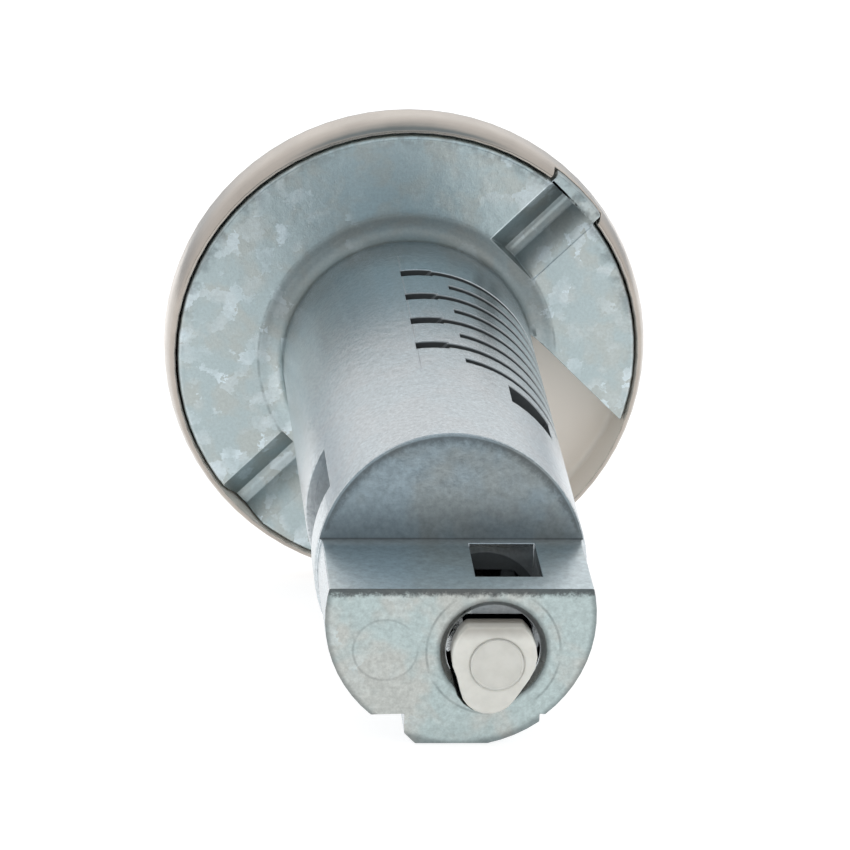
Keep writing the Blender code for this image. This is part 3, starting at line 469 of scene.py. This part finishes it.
def flange_marks(tree, place, x, y, z, radius):
    """Witness ring round the fillet, painted shade over the fillet's upper side, darker clouds along the
    upper rim, and painted shade on the grooves' sides.
    """
    cloud = noise(tree, place, 0.9, 4.0, 0.65)
    ring = product(tree, line_mask(tree, radius, WITNESS_RING_MM, 0.04, 0.12),
                   ramp(tree, cloud, 0.3, 0.6), 0.3)
    # Painted shade over the fillet's upper side, where it meets the barrel
    root = product(tree, ramp(tree, radius, 12.0, 11.4), ramp(tree, y, -3.0, 5.0), 0.45)
    # Darker clouds along the upper part of the rim, next to the cap
    rim = product(tree, ramp(tree, radius, 16.8, 17.9), ramp(tree, cloud, 0.42, 0.62),
                  ramp(tree, y, -4.0, 8.0), 0.35)
    # Painted shade on the grooves' sides, stronger towards the right, with a lighter line along the floor
    off_wing = product(tree, less(tree, y, x), math.sqrt(0.5))
    deep = product(tree, z, -1.0)
    streak = less(tree, 0.5, product(tree, line_mask(tree, off_wing, 0.1, 0.05, 0.15), 0.3))
    grooves = product(tree, line_mask(tree, off_wing, 0.0, 2.4, 0.3), ramp(tree, deep, 0.1, 1.3), streak,
                      total(tree, 0.35, product(tree, ramp(tree, x, -6.0, 6.0), 0.5)))
    return largest(tree, ring, rim, root, grooves)


def step_marks(tree, place, x, y, z, radius):
    """Dark ragged arc along the step's edge, and a shade in the corner between step and flat."""
    ragged = product(tree, noise(tree, place, 1.8, 5.0, 0.8), 1.3)
    inside = less(tree, BARREL_RADIUS_MM, radius)
    arc = product(tree, ramp(tree, total(tree, inside, ragged), 1.8, 0.9), ramp(tree, y, 2.3, 2.8),
                  ramp(tree, inside, 0.14, 0.3), 0.7)
    up = less(tree, y, DRIVE_FLAT_MM)
    back = product(tree, less(tree, z, BARREL_END_MM), 3.0)
    reach = length(tree, up, back)
    corner = product(tree, ramp(tree, reach, 5.0, 0.0), 0.55)
    crease = product(tree, ramp(tree, reach, 0.35, 0.05), 0.8)
    return largest(tree, corner, crease, arc)


def rear_marks(tree, place, x, y, z, radius):
    """Ragged dark band under the flat, dark outline, marks of an ejector pin and the bore's core, and painted
    shade in the bore's mouth.
    """
    ragged = product(tree, noise(tree, place, 1.5, 5.0, 0.8), 1.2)
    from_flat = less(tree, DRIVE_FLAT_MM, y)
    # Ragged dark band just below the drive flat's edge
    ragged_band = product(tree, ramp(tree, total(tree, from_flat, ragged), 1.25, 0.8), 0.8)
    outline = product(tree, ramp(tree, radius, 9.1, 9.6), 0.45)
    pin_x = less(tree, x, PIN_MARK_MM[0])
    pin_y = less(tree, y, PIN_MARK_MM[1])
    pin = length(tree, pin_x, pin_y)
    broken = ramp(tree, noise(tree, place, 0.5, 2.0), 0.35, 0.6)
    circle = product(tree, line_mask(tree, pin, PIN_MARK_RADIUS_MM, 0.03, 0.09), broken, 0.2)
    from_bore = bore_distance(tree, x, y)
    core = product(tree, line_mask(tree, from_bore, CORE_RING_MM, 0.03, 0.1), broken, 0.28)
    # Painted shade in the mouth of the plunger's bore
    lip = product(tree, ramp(tree, from_bore, 4.2, 3.8), 0.45)
    return largest(tree, ragged_band, outline, circle, core, lip)


def bore_distance(tree, x, y):
    """Distance from the axis of the plunger's bore."""
    across = less(tree, x, BORE_MM[0])
    up = less(tree, y, BORE_MM[1])
    return length(tree, across, up)


def casting(name, tones, scale, share, marks, roughness, mottle, sides=0.0, pits=0.4, painted_lift=0.0):
    """Zinc-plated casting: crystals in three tones, pits, worn edges, and the marks and painted shade of its
    own region.
    """
    material, tree, shader, place = new_material(name)
    x, y, z, radius = split(tree, place)
    # Real pale crystals, made more common towards both sides as painted light from the side lamps
    outward = ramp(tree, maths(tree, "ABSOLUTE", x), 3.0, 12.0)
    share_here = total(tree, share, product(tree, outward, sides))
    base, warm, pale = tones
    skin = use(tree, SPANGLE, Place=place, Scale=scale, Share=share_here, Mottle=mottle,
               Base=base, Warm=warm, Pale=pale)
    # Painted highlight: the upper middle of the flange, just above the fillet, is brightened
    middle = product(tree, less(tree, 1.0, outward), ramp(tree, y, 3.0, 9.0), ramp(tree, radius, 11.4, 12.4))
    plating = scaled(tree, skin["Colour"], total(tree, 1.0, product(tree, middle, painted_lift)))
    grain = use(tree, GRAIN, Place=place, Grain=7.0, Pits=pits)
    wear = use(tree, WEAR, Place=place, Edge=edge_mask(tree), Amount=0.6)
    dirt = use(tree, DIRT, Place=place, Amount=0.45)
    tone = blend_colour(tree, product(tree, grain["Pits"], 0.35), plating, PIT_SHADE)
    tone = blend_colour(tree, product(tree, dirt["Specks"], 0.6), tone, SPECK)
    tone = blend_colour(tree, product(tree, wear["Wear"], 0.25), tone, WORN_ZINC)
    # Marks of the region: mostly painted shade in its recesses and corners, with some real casting marks
    dark = marks(tree, place, x, y, z, radius)
    tone = blend_colour(tree, dark, tone, SHADE_AND_GRIME)
    tree.links.new(tone, shader.inputs["Base Color"])
    rough = total(tree, roughness, product(tree, skin["Flakes"], 0.1))
    rough = total(tree, rough, product(tree, dark, 0.3))
    tree.links.new(rough, shader.inputs["Roughness"])
    tree.links.new(less(tree, 1.0, product(tree, dark, 0.5)), shader.inputs["Metallic"])
    tree.links.new(bump(tree, grain["Height"], 0.00004, 0.6), shader.inputs["Normal"])
    return material


def pressed_steel(name, colour, roughness):
    """Stainless pressing: turned lines round the axis, faint clouds, painted shade over the rolled lip, and a
    pale painted-lit tone inside the cap.
    """
    material, tree, shader, place = new_material(name)
    z, radius = split(tree, place)[2:]
    rings = add(tree, "ShaderNodeCombineXYZ", radius, z, 0.0).outputs[0]
    lines = noise(tree, rings, 9.0, 3.0, 0.7)
    dirt = use(tree, DIRT, Place=place, Amount=0.3)
    wear = use(tree, WEAR, Place=place, Edge=edge_mask(tree), Amount=0.5)
    cloud = noise(tree, place, 0.35, 3.0, 0.55)
    tone = blend_colour(tree, product(tree, ramp(tree, cloud, 0.4, 0.7), 0.5), colour,
                        tuple(0.82 * c for c in colour[:3]) + (1,))
    tone = blend_colour(tree, product(tree, ramp(tree, lines, 0.45, 0.75), 0.25), tone,
                        tuple(0.7 * c for c in colour[:3]) + (1,))
    tone = blend_colour(tree, product(tree, wear["Wear"], 0.4), tone, WORN_STEEL)
    tone = blend_colour(tree, product(tree, dirt["Specks"], 0.6), tone, STEEL_SPECK)
    # Painted light: the inside of the cap takes a pale, hardly metallic tone
    inside = product(tree, ramp(tree, radius, CAP_INSIDE_MM + 0.15, CAP_INSIDE_MM),
                     ramp(tree, z, CAP_FLOOR_MM - 0.2, CAP_FLOOR_MM))
    # Painted shade over the outer roll of the lip, darker towards the lip's edge
    lip = product(tree, ramp(tree, z, ROLL_END_MM - 0.4, CAP_LIP_MM - 0.5), less(tree, 1.0, inside))
    tone = blend_colour(tree, inside, tone, CAP_INSIDE_LIT_TONE)
    tone = scaled(tree, tone, less(tree, 1.0, product(tree, lip, 0.3)))
    tree.links.new(tone, shader.inputs["Base Color"])
    rough = total(tree, roughness, product(tree, dirt["Smears"], 0.04))
    rough = total(tree, rough, product(tree, inside, 0.2))
    tree.links.new(rough, shader.inputs["Roughness"])
    tree.links.new(less(tree, 1.0, product(tree, inside, 0.9)), shader.inputs["Metallic"])
    tree.links.new(bump(tree, lines, 0.00001, 0.5), shader.inputs["Normal"])
    return material


def brass(name, colour, slot_shade):
    """Stamped brass: tarnish clouds, fine scratches, and painted shade where it reaches into the slots."""
    material, tree, shader, place = new_material(name)
    cloud = noise(tree, place, 0.8, 4.0, 0.6, 0.5)
    stretched = add(tree, "ShaderNodeMapping", place, (0, 0, 0), (0, 0, math.radians(40)),
                    (1.0, 14.0, 14.0)).outputs[0]
    scratches = noise(tree, stretched, 0.9, 4.0, 0.7)
    tone = blend_colour(tree, ramp(tree, cloud, 0.4, 0.7), colour, tuple(0.55 * c for c in colour[:3]) + (1,))
    wear = use(tree, WEAR, Place=place, Edge=edge_mask(tree), Amount=0.7)
    tone = blend_colour(tree, product(tree, wear["Wear"], 0.6), tone, WORN_BRASS)
    radius = split(tree, place)[3]
    # Painted shade on the outer part that sits inside the slots
    tone = blend_colour(tree, product(tree, ramp(tree, radius, 8.2, 9.0), slot_shade), tone, BRASS_SLOT_SHADE)
    tree.links.new(tone, shader.inputs["Base Color"])
    tree.links.new(total(tree, 0.28, product(tree, cloud, 0.2)), shader.inputs["Roughness"])
    shader.inputs["Metallic"].default_value = 1.0
    tree.links.new(bump(tree, scratches, 0.00001, 0.4), shader.inputs["Normal"])
    return material


def spring_steel(name):
    """Drawn wire with an oily bloom."""
    material, tree, shader, place = new_material(name)
    cloud = noise(tree, place, 1.6, 4.0, 0.6)
    tone = blend_colour(tree, ramp(tree, cloud, 0.35, 0.7), *WIRE_TONES)
    tree.links.new(tone, shader.inputs["Base Color"])
    tree.links.new(total(tree, 0.2, product(tree, cloud, 0.25)), shader.inputs["Roughness"])
    shader.inputs["Metallic"].default_value = 1.0
    tree.links.new(bump(tree, noise(tree, place, 20.0, 2.0), 0.000006, 0.4), shader.inputs["Normal"])
    return material


def nylon(name):
    """Moulded white nylon: satin skin, slight clouding, painted shade where it sinks into its bore and along
    its upper side, and a little painted shade in its dish.
    """
    material, tree, shader, place = new_material(name)
    x, y, z = split(tree, place)[:3]
    cloud = noise(tree, place, 0.9, 3.0, 0.55)
    tone = blend_colour(tree, ramp(tree, cloud, 0.35, 0.7), *NYLON_TONES)
    # Painted shade where the plunger sinks into its bore and along its upper side
    deep = ramp(tree, z, LOCK_END_MM + 1.1, LOCK_END_MM)
    deep = largest(tree, deep, product(tree, ramp(tree, y, -1.3, -0.3), 0.6))
    tone = blend_colour(tree, product(tree, deep, 0.8), tone, NYLON_SHADE)
    # Slight painted shade inside the recessed dish
    across = less(tree, x, DISH_MM[0])
    over = less(tree, y, DISH_MM[1])
    dish = length(tree, across, over)
    tone = scaled(tree, tone, less(tree, 1.0, product(tree, ramp(tree, dish, 1.95, 1.75), 0.08)))
    tree.links.new(tone, shader.inputs["Base Color"])
    tree.links.new(total(tree, 0.38, product(tree, cloud, 0.12)), shader.inputs["Roughness"])
    shader.inputs["Subsurface Weight"].default_value = 0.15
    shader.inputs["Subsurface Radius"].default_value = (0.0006, 0.0005, 0.0004)
    shader.inputs["Subsurface Scale"].default_value = 1.0
    tree.links.new(bump(tree, noise(tree, place, 6.0, 3.0), 0.00001, 0.4), shader.inputs["Normal"])
    return material


# Copied nodes with rounded edges
def merged(node):
    """Copy of a node's mesh, its doubled points merged and the triangles of one plane made one face."""
    form = bmesh.new()
    form.from_mesh(frame["nodes"][node].data)
    bmesh.ops.remove_doubles(form, verts=form.verts, dist=MERGE)
    bmesh.ops.dissolve_limit(form, angle_limit=ONE_PLANE, verts=form.verts, edges=form.edges)
    bmesh.ops.dissolve_degenerate(form, dist=MERGE, edges=form.edges)
    return form


def round_edges(form, width, angle):
    """Bevel every edge sharper than angle, and mark the points that lie only on bevels with 1."""
    sharp = [edge for edge in form.edges if len(edge.link_faces) == 2 and edge.calc_face_angle(0) > angle]
    layer = form.verts.layers.float.new("edge")
    made = bmesh.ops.bevel(form, geom=sharp, offset=width, offset_type="OFFSET", segments=2, profile=0.5,
                           affect="EDGES", clamp_overlap=False, miter_outer="SHARP")
    bevels = set(made["faces"])
    for vertex in made["verts"]:
        vertex[layer] = float(all(face in bevels for face in vertex.link_faces))


def read(mesh, kind, name, width):
    """One property of every element of a mesh as an array."""
    data = getattr(mesh, kind)
    flat = np.zeros(len(data) * width)
    data.foreach_get(name, flat)
    return flat.reshape(-1, width) if width > 1 else flat


def turned_faces(place, corner_face, corner_vertex, face_normals, centre):
    """Which faces belong to a surface turned about centre, and the radial line at each corner.

    Centre is x, y and the least radius at which a face counts as turned.

    Such a face's normal lies close to the radial lines of all its corners, and its corners keep one value of
    radius and height along that normal.
    """
    spoke = place[corner_vertex, :2] - np.array(centre[:2])
    radius = np.linalg.norm(spoke, axis=1)
    spoke = spoke / np.maximum(radius, 1e-6)[:, None]
    normal = face_normals[corner_face]
    level = np.linalg.norm(normal[:, :2], axis=1)
    lean = np.abs(spoke[:, 0] * normal[:, 1] - spoke[:, 1] * normal[:, 0])
    facing = np.sign((spoke * normal[:, :2]).sum(1))
    depth = facing * level * radius + normal[:, 2] * place[corner_vertex, 2]
    ok = (lean <= TURN_SLACK * level) & (level > 0.05) & (radius > centre[2])
    count = len(face_normals)
    most = np.full(count, -np.inf)
    least = np.full(count, np.inf)
    np.maximum.at(most, corner_face, depth)
    np.minimum.at(least, corner_face, depth)
    good = np.ones(count, bool)
    np.logical_and.at(good, corner_face, ok)
    return good & (most - least < RING_SLACK_MM), spoke


def smooth_shading(piece, centres):
    """Normals that stay flat on flat faces and run round on turned ones.

    Corner normals are averaged with the weight of the faces' areas. On a turned face the part that points
    along the circle is then taken away.
    """
    mesh = piece.data
    mesh.shade_smooth()
    modifier = piece.modifiers.new("weights", "WEIGHTED_NORMAL")
    modifier.weight = 90
    bpy.context.view_layer.update()
    graph = bpy.context.evaluated_depsgraph_get()
    seen = piece.evaluated_get(graph).data
    normals = np.zeros(len(seen.corner_normals) * 3)
    seen.corner_normals.foreach_get("vector", normals)
    normals = normals.reshape(-1, 3)
    piece.modifiers.remove(modifier)
    turn = np.array(LOCK.to_3x3())
    place = in_lock_mm(read(mesh, "vertices", "co", 3))
    face_normals = read(mesh, "polygons", "normal", 3) @ turn
    corner_vertex = read(mesh, "loops", "vertex_index", 1).astype(int)
    corners_each = read(mesh, "polygons", "loop_total", 1).astype(int)
    corner_face = np.repeat(np.arange(len(corners_each)), corners_each)
    here = normals @ turn
    for centre in centres:
        faces, spoke = turned_faces(place, corner_face, corner_vertex, face_normals, centre)
        corners = faces[corner_face]
        outward = (here[:, :2] * spoke).sum(1)
        straight = np.column_stack((spoke * outward[:, None], here[:, 2]))
        straight /= np.maximum(np.linalg.norm(straight, axis=1), 1e-9)[:, None]
        here[corners] = straight[corners]
    mesh.normals_split_custom_set((here @ turn.T).tolist())


def dress(piece, node, materials, pick=None):
    """Give a piece its materials, let it stand for its node and ride on the node's body."""
    for material in materials:
        piece.data.materials.append(material)
    if pick is not None:
        piece.data.polygons.foreach_set("material_index", pick)
    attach(piece, body_of_node(node))
    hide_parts(node)
    return piece


def close_rings(form):
    """Merge the two rings where fillet and barrel meet, and widen the flange's rim in its cap."""
    near = []
    for vertex in form.verts:
        place = TO_LOCK_MM @ vertex.co
        radius = math.hypot(place.x, place.y)
        if abs(radius - ROOT_MM[0]) < 0.04 and abs(place.z - ROOT_MM[1]) < 0.02:
            near.append(vertex)
        if RIM_MM[0] < radius < RIM_MM[1] and place.z < 0.05:
            wider = (radius + RIM_GROWTH_MM) / radius
            vertex.co = LOCK @ (Vector((place.x * wider, place.y * wider, place.z)) * MM)
    bmesh.ops.remove_doubles(form, verts=near, dist=0.05 * MM)


def form_cap(form):
    """Merge the tiny edges at the ears' feet, and roll the outer side of the rim in towards the lip."""
    feet = []
    for vertex in form.verts:
        place = TO_LOCK_MM @ vertex.co
        if place.z < CAP_FLOOR_MM - 0.3 and math.hypot(place.x, place.y) < CAP_OUTSIDE_MM - 2:
            feet.append(vertex)
    bmesh.ops.remove_doubles(form, verts=feet, dist=FOOT_MERGE_MM * MM)
    outer = []
    for face in form.faces:
        place = TO_LOCK_MM @ face.calc_center_median()
        if math.hypot(place.x, place.y) > CAP_OUTSIDE_MM - 0.2 and place.z > CAP_FLOOR_MM:
            outer.append(face)
    along = LOCK.to_3x3() @ Vector((0, 0, 1))
    for height in ROLL_CUTS_MM:
        kept = [face for face in outer if face.is_valid]
        parts = list({edge for face in kept for edge in face.edges}) + kept
        parts += list({vertex for face in kept for vertex in face.verts})
        middle = LOCK @ Vector((0, 0, height * MM))
        made = bmesh.ops.bisect_plane(form, geom=parts, plane_co=middle, plane_no=along, dist=MERGE)
        outer = list({item for item in made["geom"] if isinstance(item, bmesh.types.BMFace)})
    for vertex in form.verts:
        place = TO_LOCK_MM @ vertex.co
        radius = math.hypot(place.x, place.y)
        if radius > CAP_INSIDE_MM + 0.12 and ROLL_END_MM < place.z:
            share = (place.z - ROLL_END_MM) / (CAP_LIP_MM - ROLL_END_MM)
            outward = (radius - CAP_INSIDE_MM) / (CAP_OUTSIDE_MM - CAP_INSIDE_MM)
            inner = radius - ROLL_DEPTH_MM * outward * share * share
            vertex.co = LOCK @ (Vector((place.x * inner / radius, place.y * inner / radius, place.z)) * MM)


def shallow_dish(form):
    """Raise the floor of the plunger's dish, so that its rim throws less shade."""
    for vertex in form.verts:
        place = TO_LOCK_MM @ vertex.co
        off = math.hypot(place.x - DISH_MM[0], place.y - DISH_MM[1])
        if off < 2.0 and abs(place.z - DISH_FLOOR_MM) < 0.05:
            vertex.co = LOCK @ (Vector((place.x, place.y, place.z + DISH_RAISE_MM)) * MM)


def softened(name, node, width, materials, centres=(LOCK_AXIS_MM,), picker=None,
             reshape=None, angle=SHARP):
    """Piece that stands for a node: the same form with its edges sharper than angle rounded to width."""
    form = merged(node)
    if reshape:
        reshape(form)
    round_edges(form, width, angle)
    mesh = bpy.data.meshes.new(name)
    form.to_mesh(mesh)
    form.free()
    piece = bpy.data.objects.new(name, mesh)
    bpy.context.scene.collection.objects.link(piece)
    smooth_shading(piece, centres)
    pick = None if picker is None else picker(mesh)
    return dress(piece, node, materials, pick)


def round_wire(name, node, material):
    """Piece that stands for a wire: the same form, subdivided into a round section."""
    form = merged(node)
    bmesh.ops.triangulate(form, faces=form.faces)
    mesh = bpy.data.meshes.new(name)
    form.to_mesh(mesh)
    form.free()
    mesh.shade_smooth()
    piece = bpy.data.objects.new(name, mesh)
    bpy.context.scene.collection.objects.link(piece)
    finer = piece.modifiers.new("round", "SUBSURF")
    finer.levels = 1
    finer.render_levels = 1
    return dress(piece, node, [material])


def compress(piece, joint):
    """Give a coil spring a mesh of its own; its points are read along the joint's axis, but the spring is not
    shortened.
    """
    axis = np.array(joint["axis"])
    points = read(piece.data, "vertices", "co", 3)
    along = points @ axis
    tuple(points[along.argmax()])
    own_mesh(piece)


def casting_regions(mesh):
    """Material of each face of the casting: 0 barrel, 1 flange, 2 step, 3 drive flat, 4 rear end."""
    place = in_lock_mm(read(mesh, "polygons", "center", 3))
    normals = read(mesh, "polygons", "normal", 3) @ np.array(LOCK.to_3x3())
    radius = np.linalg.norm(place[:, :2], axis=1)
    height = place[:, 2]
    pick = np.zeros(len(height), np.int32)
    pick[height < 1.0] = 1
    wall = BARREL_END_MM + (DRIVE_FLAT_MM - place[:, 1]) * math.tan(STEP_LEAN)
    step = (place[:, 1] > DRIVE_FLAT_MM - 0.05) & (height > wall - 0.05) & (radius < BARREL_RADIUS_MM - 0.1)
    pick[step] = 2
    pick[step & (normals[:, 1] > 0.8)] = 3
    pick[height > LOCK_END_MM - 0.13] = 4
    return pick


zinc_barrel = casting("zinc_barrel", BARREL_TONES, 0.7, -0.4, barrel_marks, 0.26, mottle=0.3, pits=0.0)
zinc_flange = casting("zinc_flange", FLANGE_TONES, 0.85, 0.36, flange_marks, 0.3, mottle=0.16, sides=0.35,
                      painted_lift=0.42)
zinc_step = casting("zinc_step", STEP_TONES, 0.42, 0.2, step_marks, 0.32, mottle=0.32)
zinc_flat = casting("zinc_flat", FLAT_TONES, 0.42, 0.2, step_marks, 0.32, mottle=0.3)
zinc_rear = casting("zinc_rear", REAR_TONES, 0.6, 0.35, rear_marks, 0.4, mottle=0.3)
steel = pressed_steel("stainless", STEEL, 0.22)
wafer_brass = brass("wafer_brass", BRASS, 0.8)
bar_brass = brass("bar_brass", BRASS, 0.15)
wire = spring_steel("spring_wire")
white_nylon = nylon("nylon")
zinc = [zinc_barrel, zinc_flange, zinc_step, zinc_flat, zinc_rear]

softened("casting", "plug_body", CASTING_EDGE, zinc, centres=(LOCK_AXIS_MM, BORE_MM),
         picker=casting_regions, reshape=close_rings)
softened("cap", "face_cap", CAP_EDGE, [steel], centres=(CAP_RIM_MM,),
         reshape=form_cap, angle=EAR_SHARP)
softened("shutter", "key_shutter", SHUTTER_EDGE, [steel])
softened("plunger", "key_plunger", PLUNGER_EDGE, [white_nylon], centres=(BORE_MM,),
         reshape=shallow_dish)
softened("locking_bar", "side_bar", BAR_EDGE, [bar_brass])
softened("pin_of_shutter", "shutter_pin", PIN_EDGE, [wire])
for node in sorted(frame["nodes"]):
    if node.startswith("wafer_") and "spring" not in node:
        softened(f"{node}_stamping", node, WAFER_EDGE, [wafer_brass])
for joint in frame["joints"]:
    for entry in joint["deforming_nodes"]:
        coil = round_wire(f"{entry['node']}_wire", entry["node"], wire)
        if entry["mode"] == "scale_z":
            compress(coil, joint)


# Stage: white floor, soft boxes, camera
def make_floor():
    """White floor that shows as plain white to the camera and in metal, and keeps a faint shadow."""
    half = 4.0
    corners = [(-half, -half, 0), (half, -half, 0), (half, half, 0), (-half, half, 0)]
    mesh = bpy.data.meshes.new("floor")
    mesh.from_pydata(corners, [], [(0, 1, 2, 3)])
    floor = bpy.data.objects.new("floor", mesh)
    bpy.context.scene.collection.objects.link(floor)
    material = bpy.data.materials.new("floor_white")
    material.use_nodes = True
    tree = material.node_tree
    tree.nodes.clear()
    path = add(tree, "ShaderNodeLightPath").outputs
    seen = largest(tree, path["Is Camera Ray"], path["Is Glossy Ray"], path["Is Transmission Ray"])
    plain = add(tree, "ShaderNodeBsdfDiffuse", (0.8, 0.8, 0.8, 1)).outputs[0]
    towards = add(tree, "ShaderNodeTexCoord").outputs["Object"]
    along = add(tree, "ShaderNodeSeparateXYZ", towards).outputs[1]
    far = product(tree, ramp(tree, along, -0.075, -0.13), path["Is Glossy Ray"])
    near = less(tree, 1.0, product(tree, far, 0.8))
    glow = add(tree, "ShaderNodeEmission", (1, 1, 1, 1), product(tree, near, 0.72)).outputs[0]
    shade = add(tree, "ShaderNodeBsdfDiffuse", scaled(tree, (0.45, 0.45, 0.45), near)).outputs[0]
    shown = add(tree, "ShaderNodeAddShader", glow, shade).outputs[0]
    mixed = add(tree, "ShaderNodeMixShader", seen, plain, shown).outputs[0]
    out = add(tree, "ShaderNodeOutputMaterial")
    tree.links.new(mixed, out.inputs[0])
    mesh.materials.append(material)


def make_world():
    """White room: the camera sees plain white, and metal sees white with a dim patch behind the camera."""
    world = bpy.data.worlds.new("white_room")
    bpy.context.scene.world = world
    world.use_nodes = True
    tree = world.node_tree
    tree.nodes.clear()
    path = add(tree, "ShaderNodeLightPath").outputs
    direction = add(tree, "ShaderNodeTexCoord").outputs["Generated"]
    side, along, up = add(tree, "ShaderNodeSeparateXYZ", direction).outputs
    middle = ramp(tree, maths(tree, "ABSOLUTE", side), 0.72, 0.45)
    gap = less(tree, 1.0, product(tree, line_mask(tree, up, 0.5, 0.1, 0.12), 0.5))
    front = product(tree, ramp(tree, along, -0.5, -0.85), middle, gap)
    above = product(tree, ramp(tree, up, 0.7, 0.95), middle)
    tint = blend_colour(tree, largest(tree, front, above), ROOM_WHITE, ROOM_PATCH)
    face = product(tree, ramp(tree, along, 0.4, 0.95), ramp(tree, up, 0.36, 0.0), 0.8)
    tint = blend_colour(tree, face, tint, ROOM_FRONT)
    tint = blend_colour(tree, path["Is Glossy Ray"], (0.85, 0.85, 0.85, 1), tint)
    seen = largest(tree, path["Is Camera Ray"], path["Is Transmission Ray"])
    tint = blend_colour(tree, seen, tint, (1, 1, 1, 1))
    sky = add(tree, "ShaderNodeBackground", tint, 1.0).outputs[0]
    out = add(tree, "ShaderNodeOutputWorld")
    tree.links.new(sky, out.inputs[0])


def soft_box(name, place, aim, size, power):
    """Square lamp at place, facing aim."""
    data = bpy.data.lights.new(name, "AREA")
    data.size = size
    data.energy = power
    lamp = bpy.data.objects.new(name, data)
    lamp.location = place
    lamp.rotation_euler = (Vector(aim) - Vector(place)).to_track_quat("-Z", "Y").to_euler()
    lamp.visible_glossy = False
    bpy.context.scene.collection.objects.link(lamp)


def make_camera():
    """Camera at the photograph's place, from its position, view line and image axis in the lock's frame."""
    turn = LOCK.to_3x3()
    back = -(turn @ Vector(VIEW_LINE)).normalized()
    right = turn @ Vector(IMAGE_RIGHT)
    right = (right - right.dot(back) * back).normalized()
    up = back.cross(right)
    data = bpy.data.cameras.new("camera")
    data.sensor_width = SENSOR
    data.lens = LENS
    data.clip_start = 0.01
    data.clip_end = 20.0
    camera = bpy.data.objects.new("camera", data)
    camera.matrix_world = (Matrix.Translation(LOCK @ (Vector(CAMERA_MM) * MM))
                           @ Matrix((right, up, back)).transposed().to_4x4())
    bpy.context.scene.collection.objects.link(camera)
    bpy.context.scene.camera = camera


make_floor()
make_world()
soft_box("box_left", (-0.7, -0.1, 0.5), (0, 0, 0), 0.5, 0.9)
soft_box("box_right", (0.7, -0.1, 0.5), (0, 0, 0), 0.5, 0.9)
soft_box("box_top", (0.0, 0.2, 0.9), (0, 0, 0), 0.6, 1.2)
make_camera()
bpy.context.scene.view_settings.view_transform = "Standard"
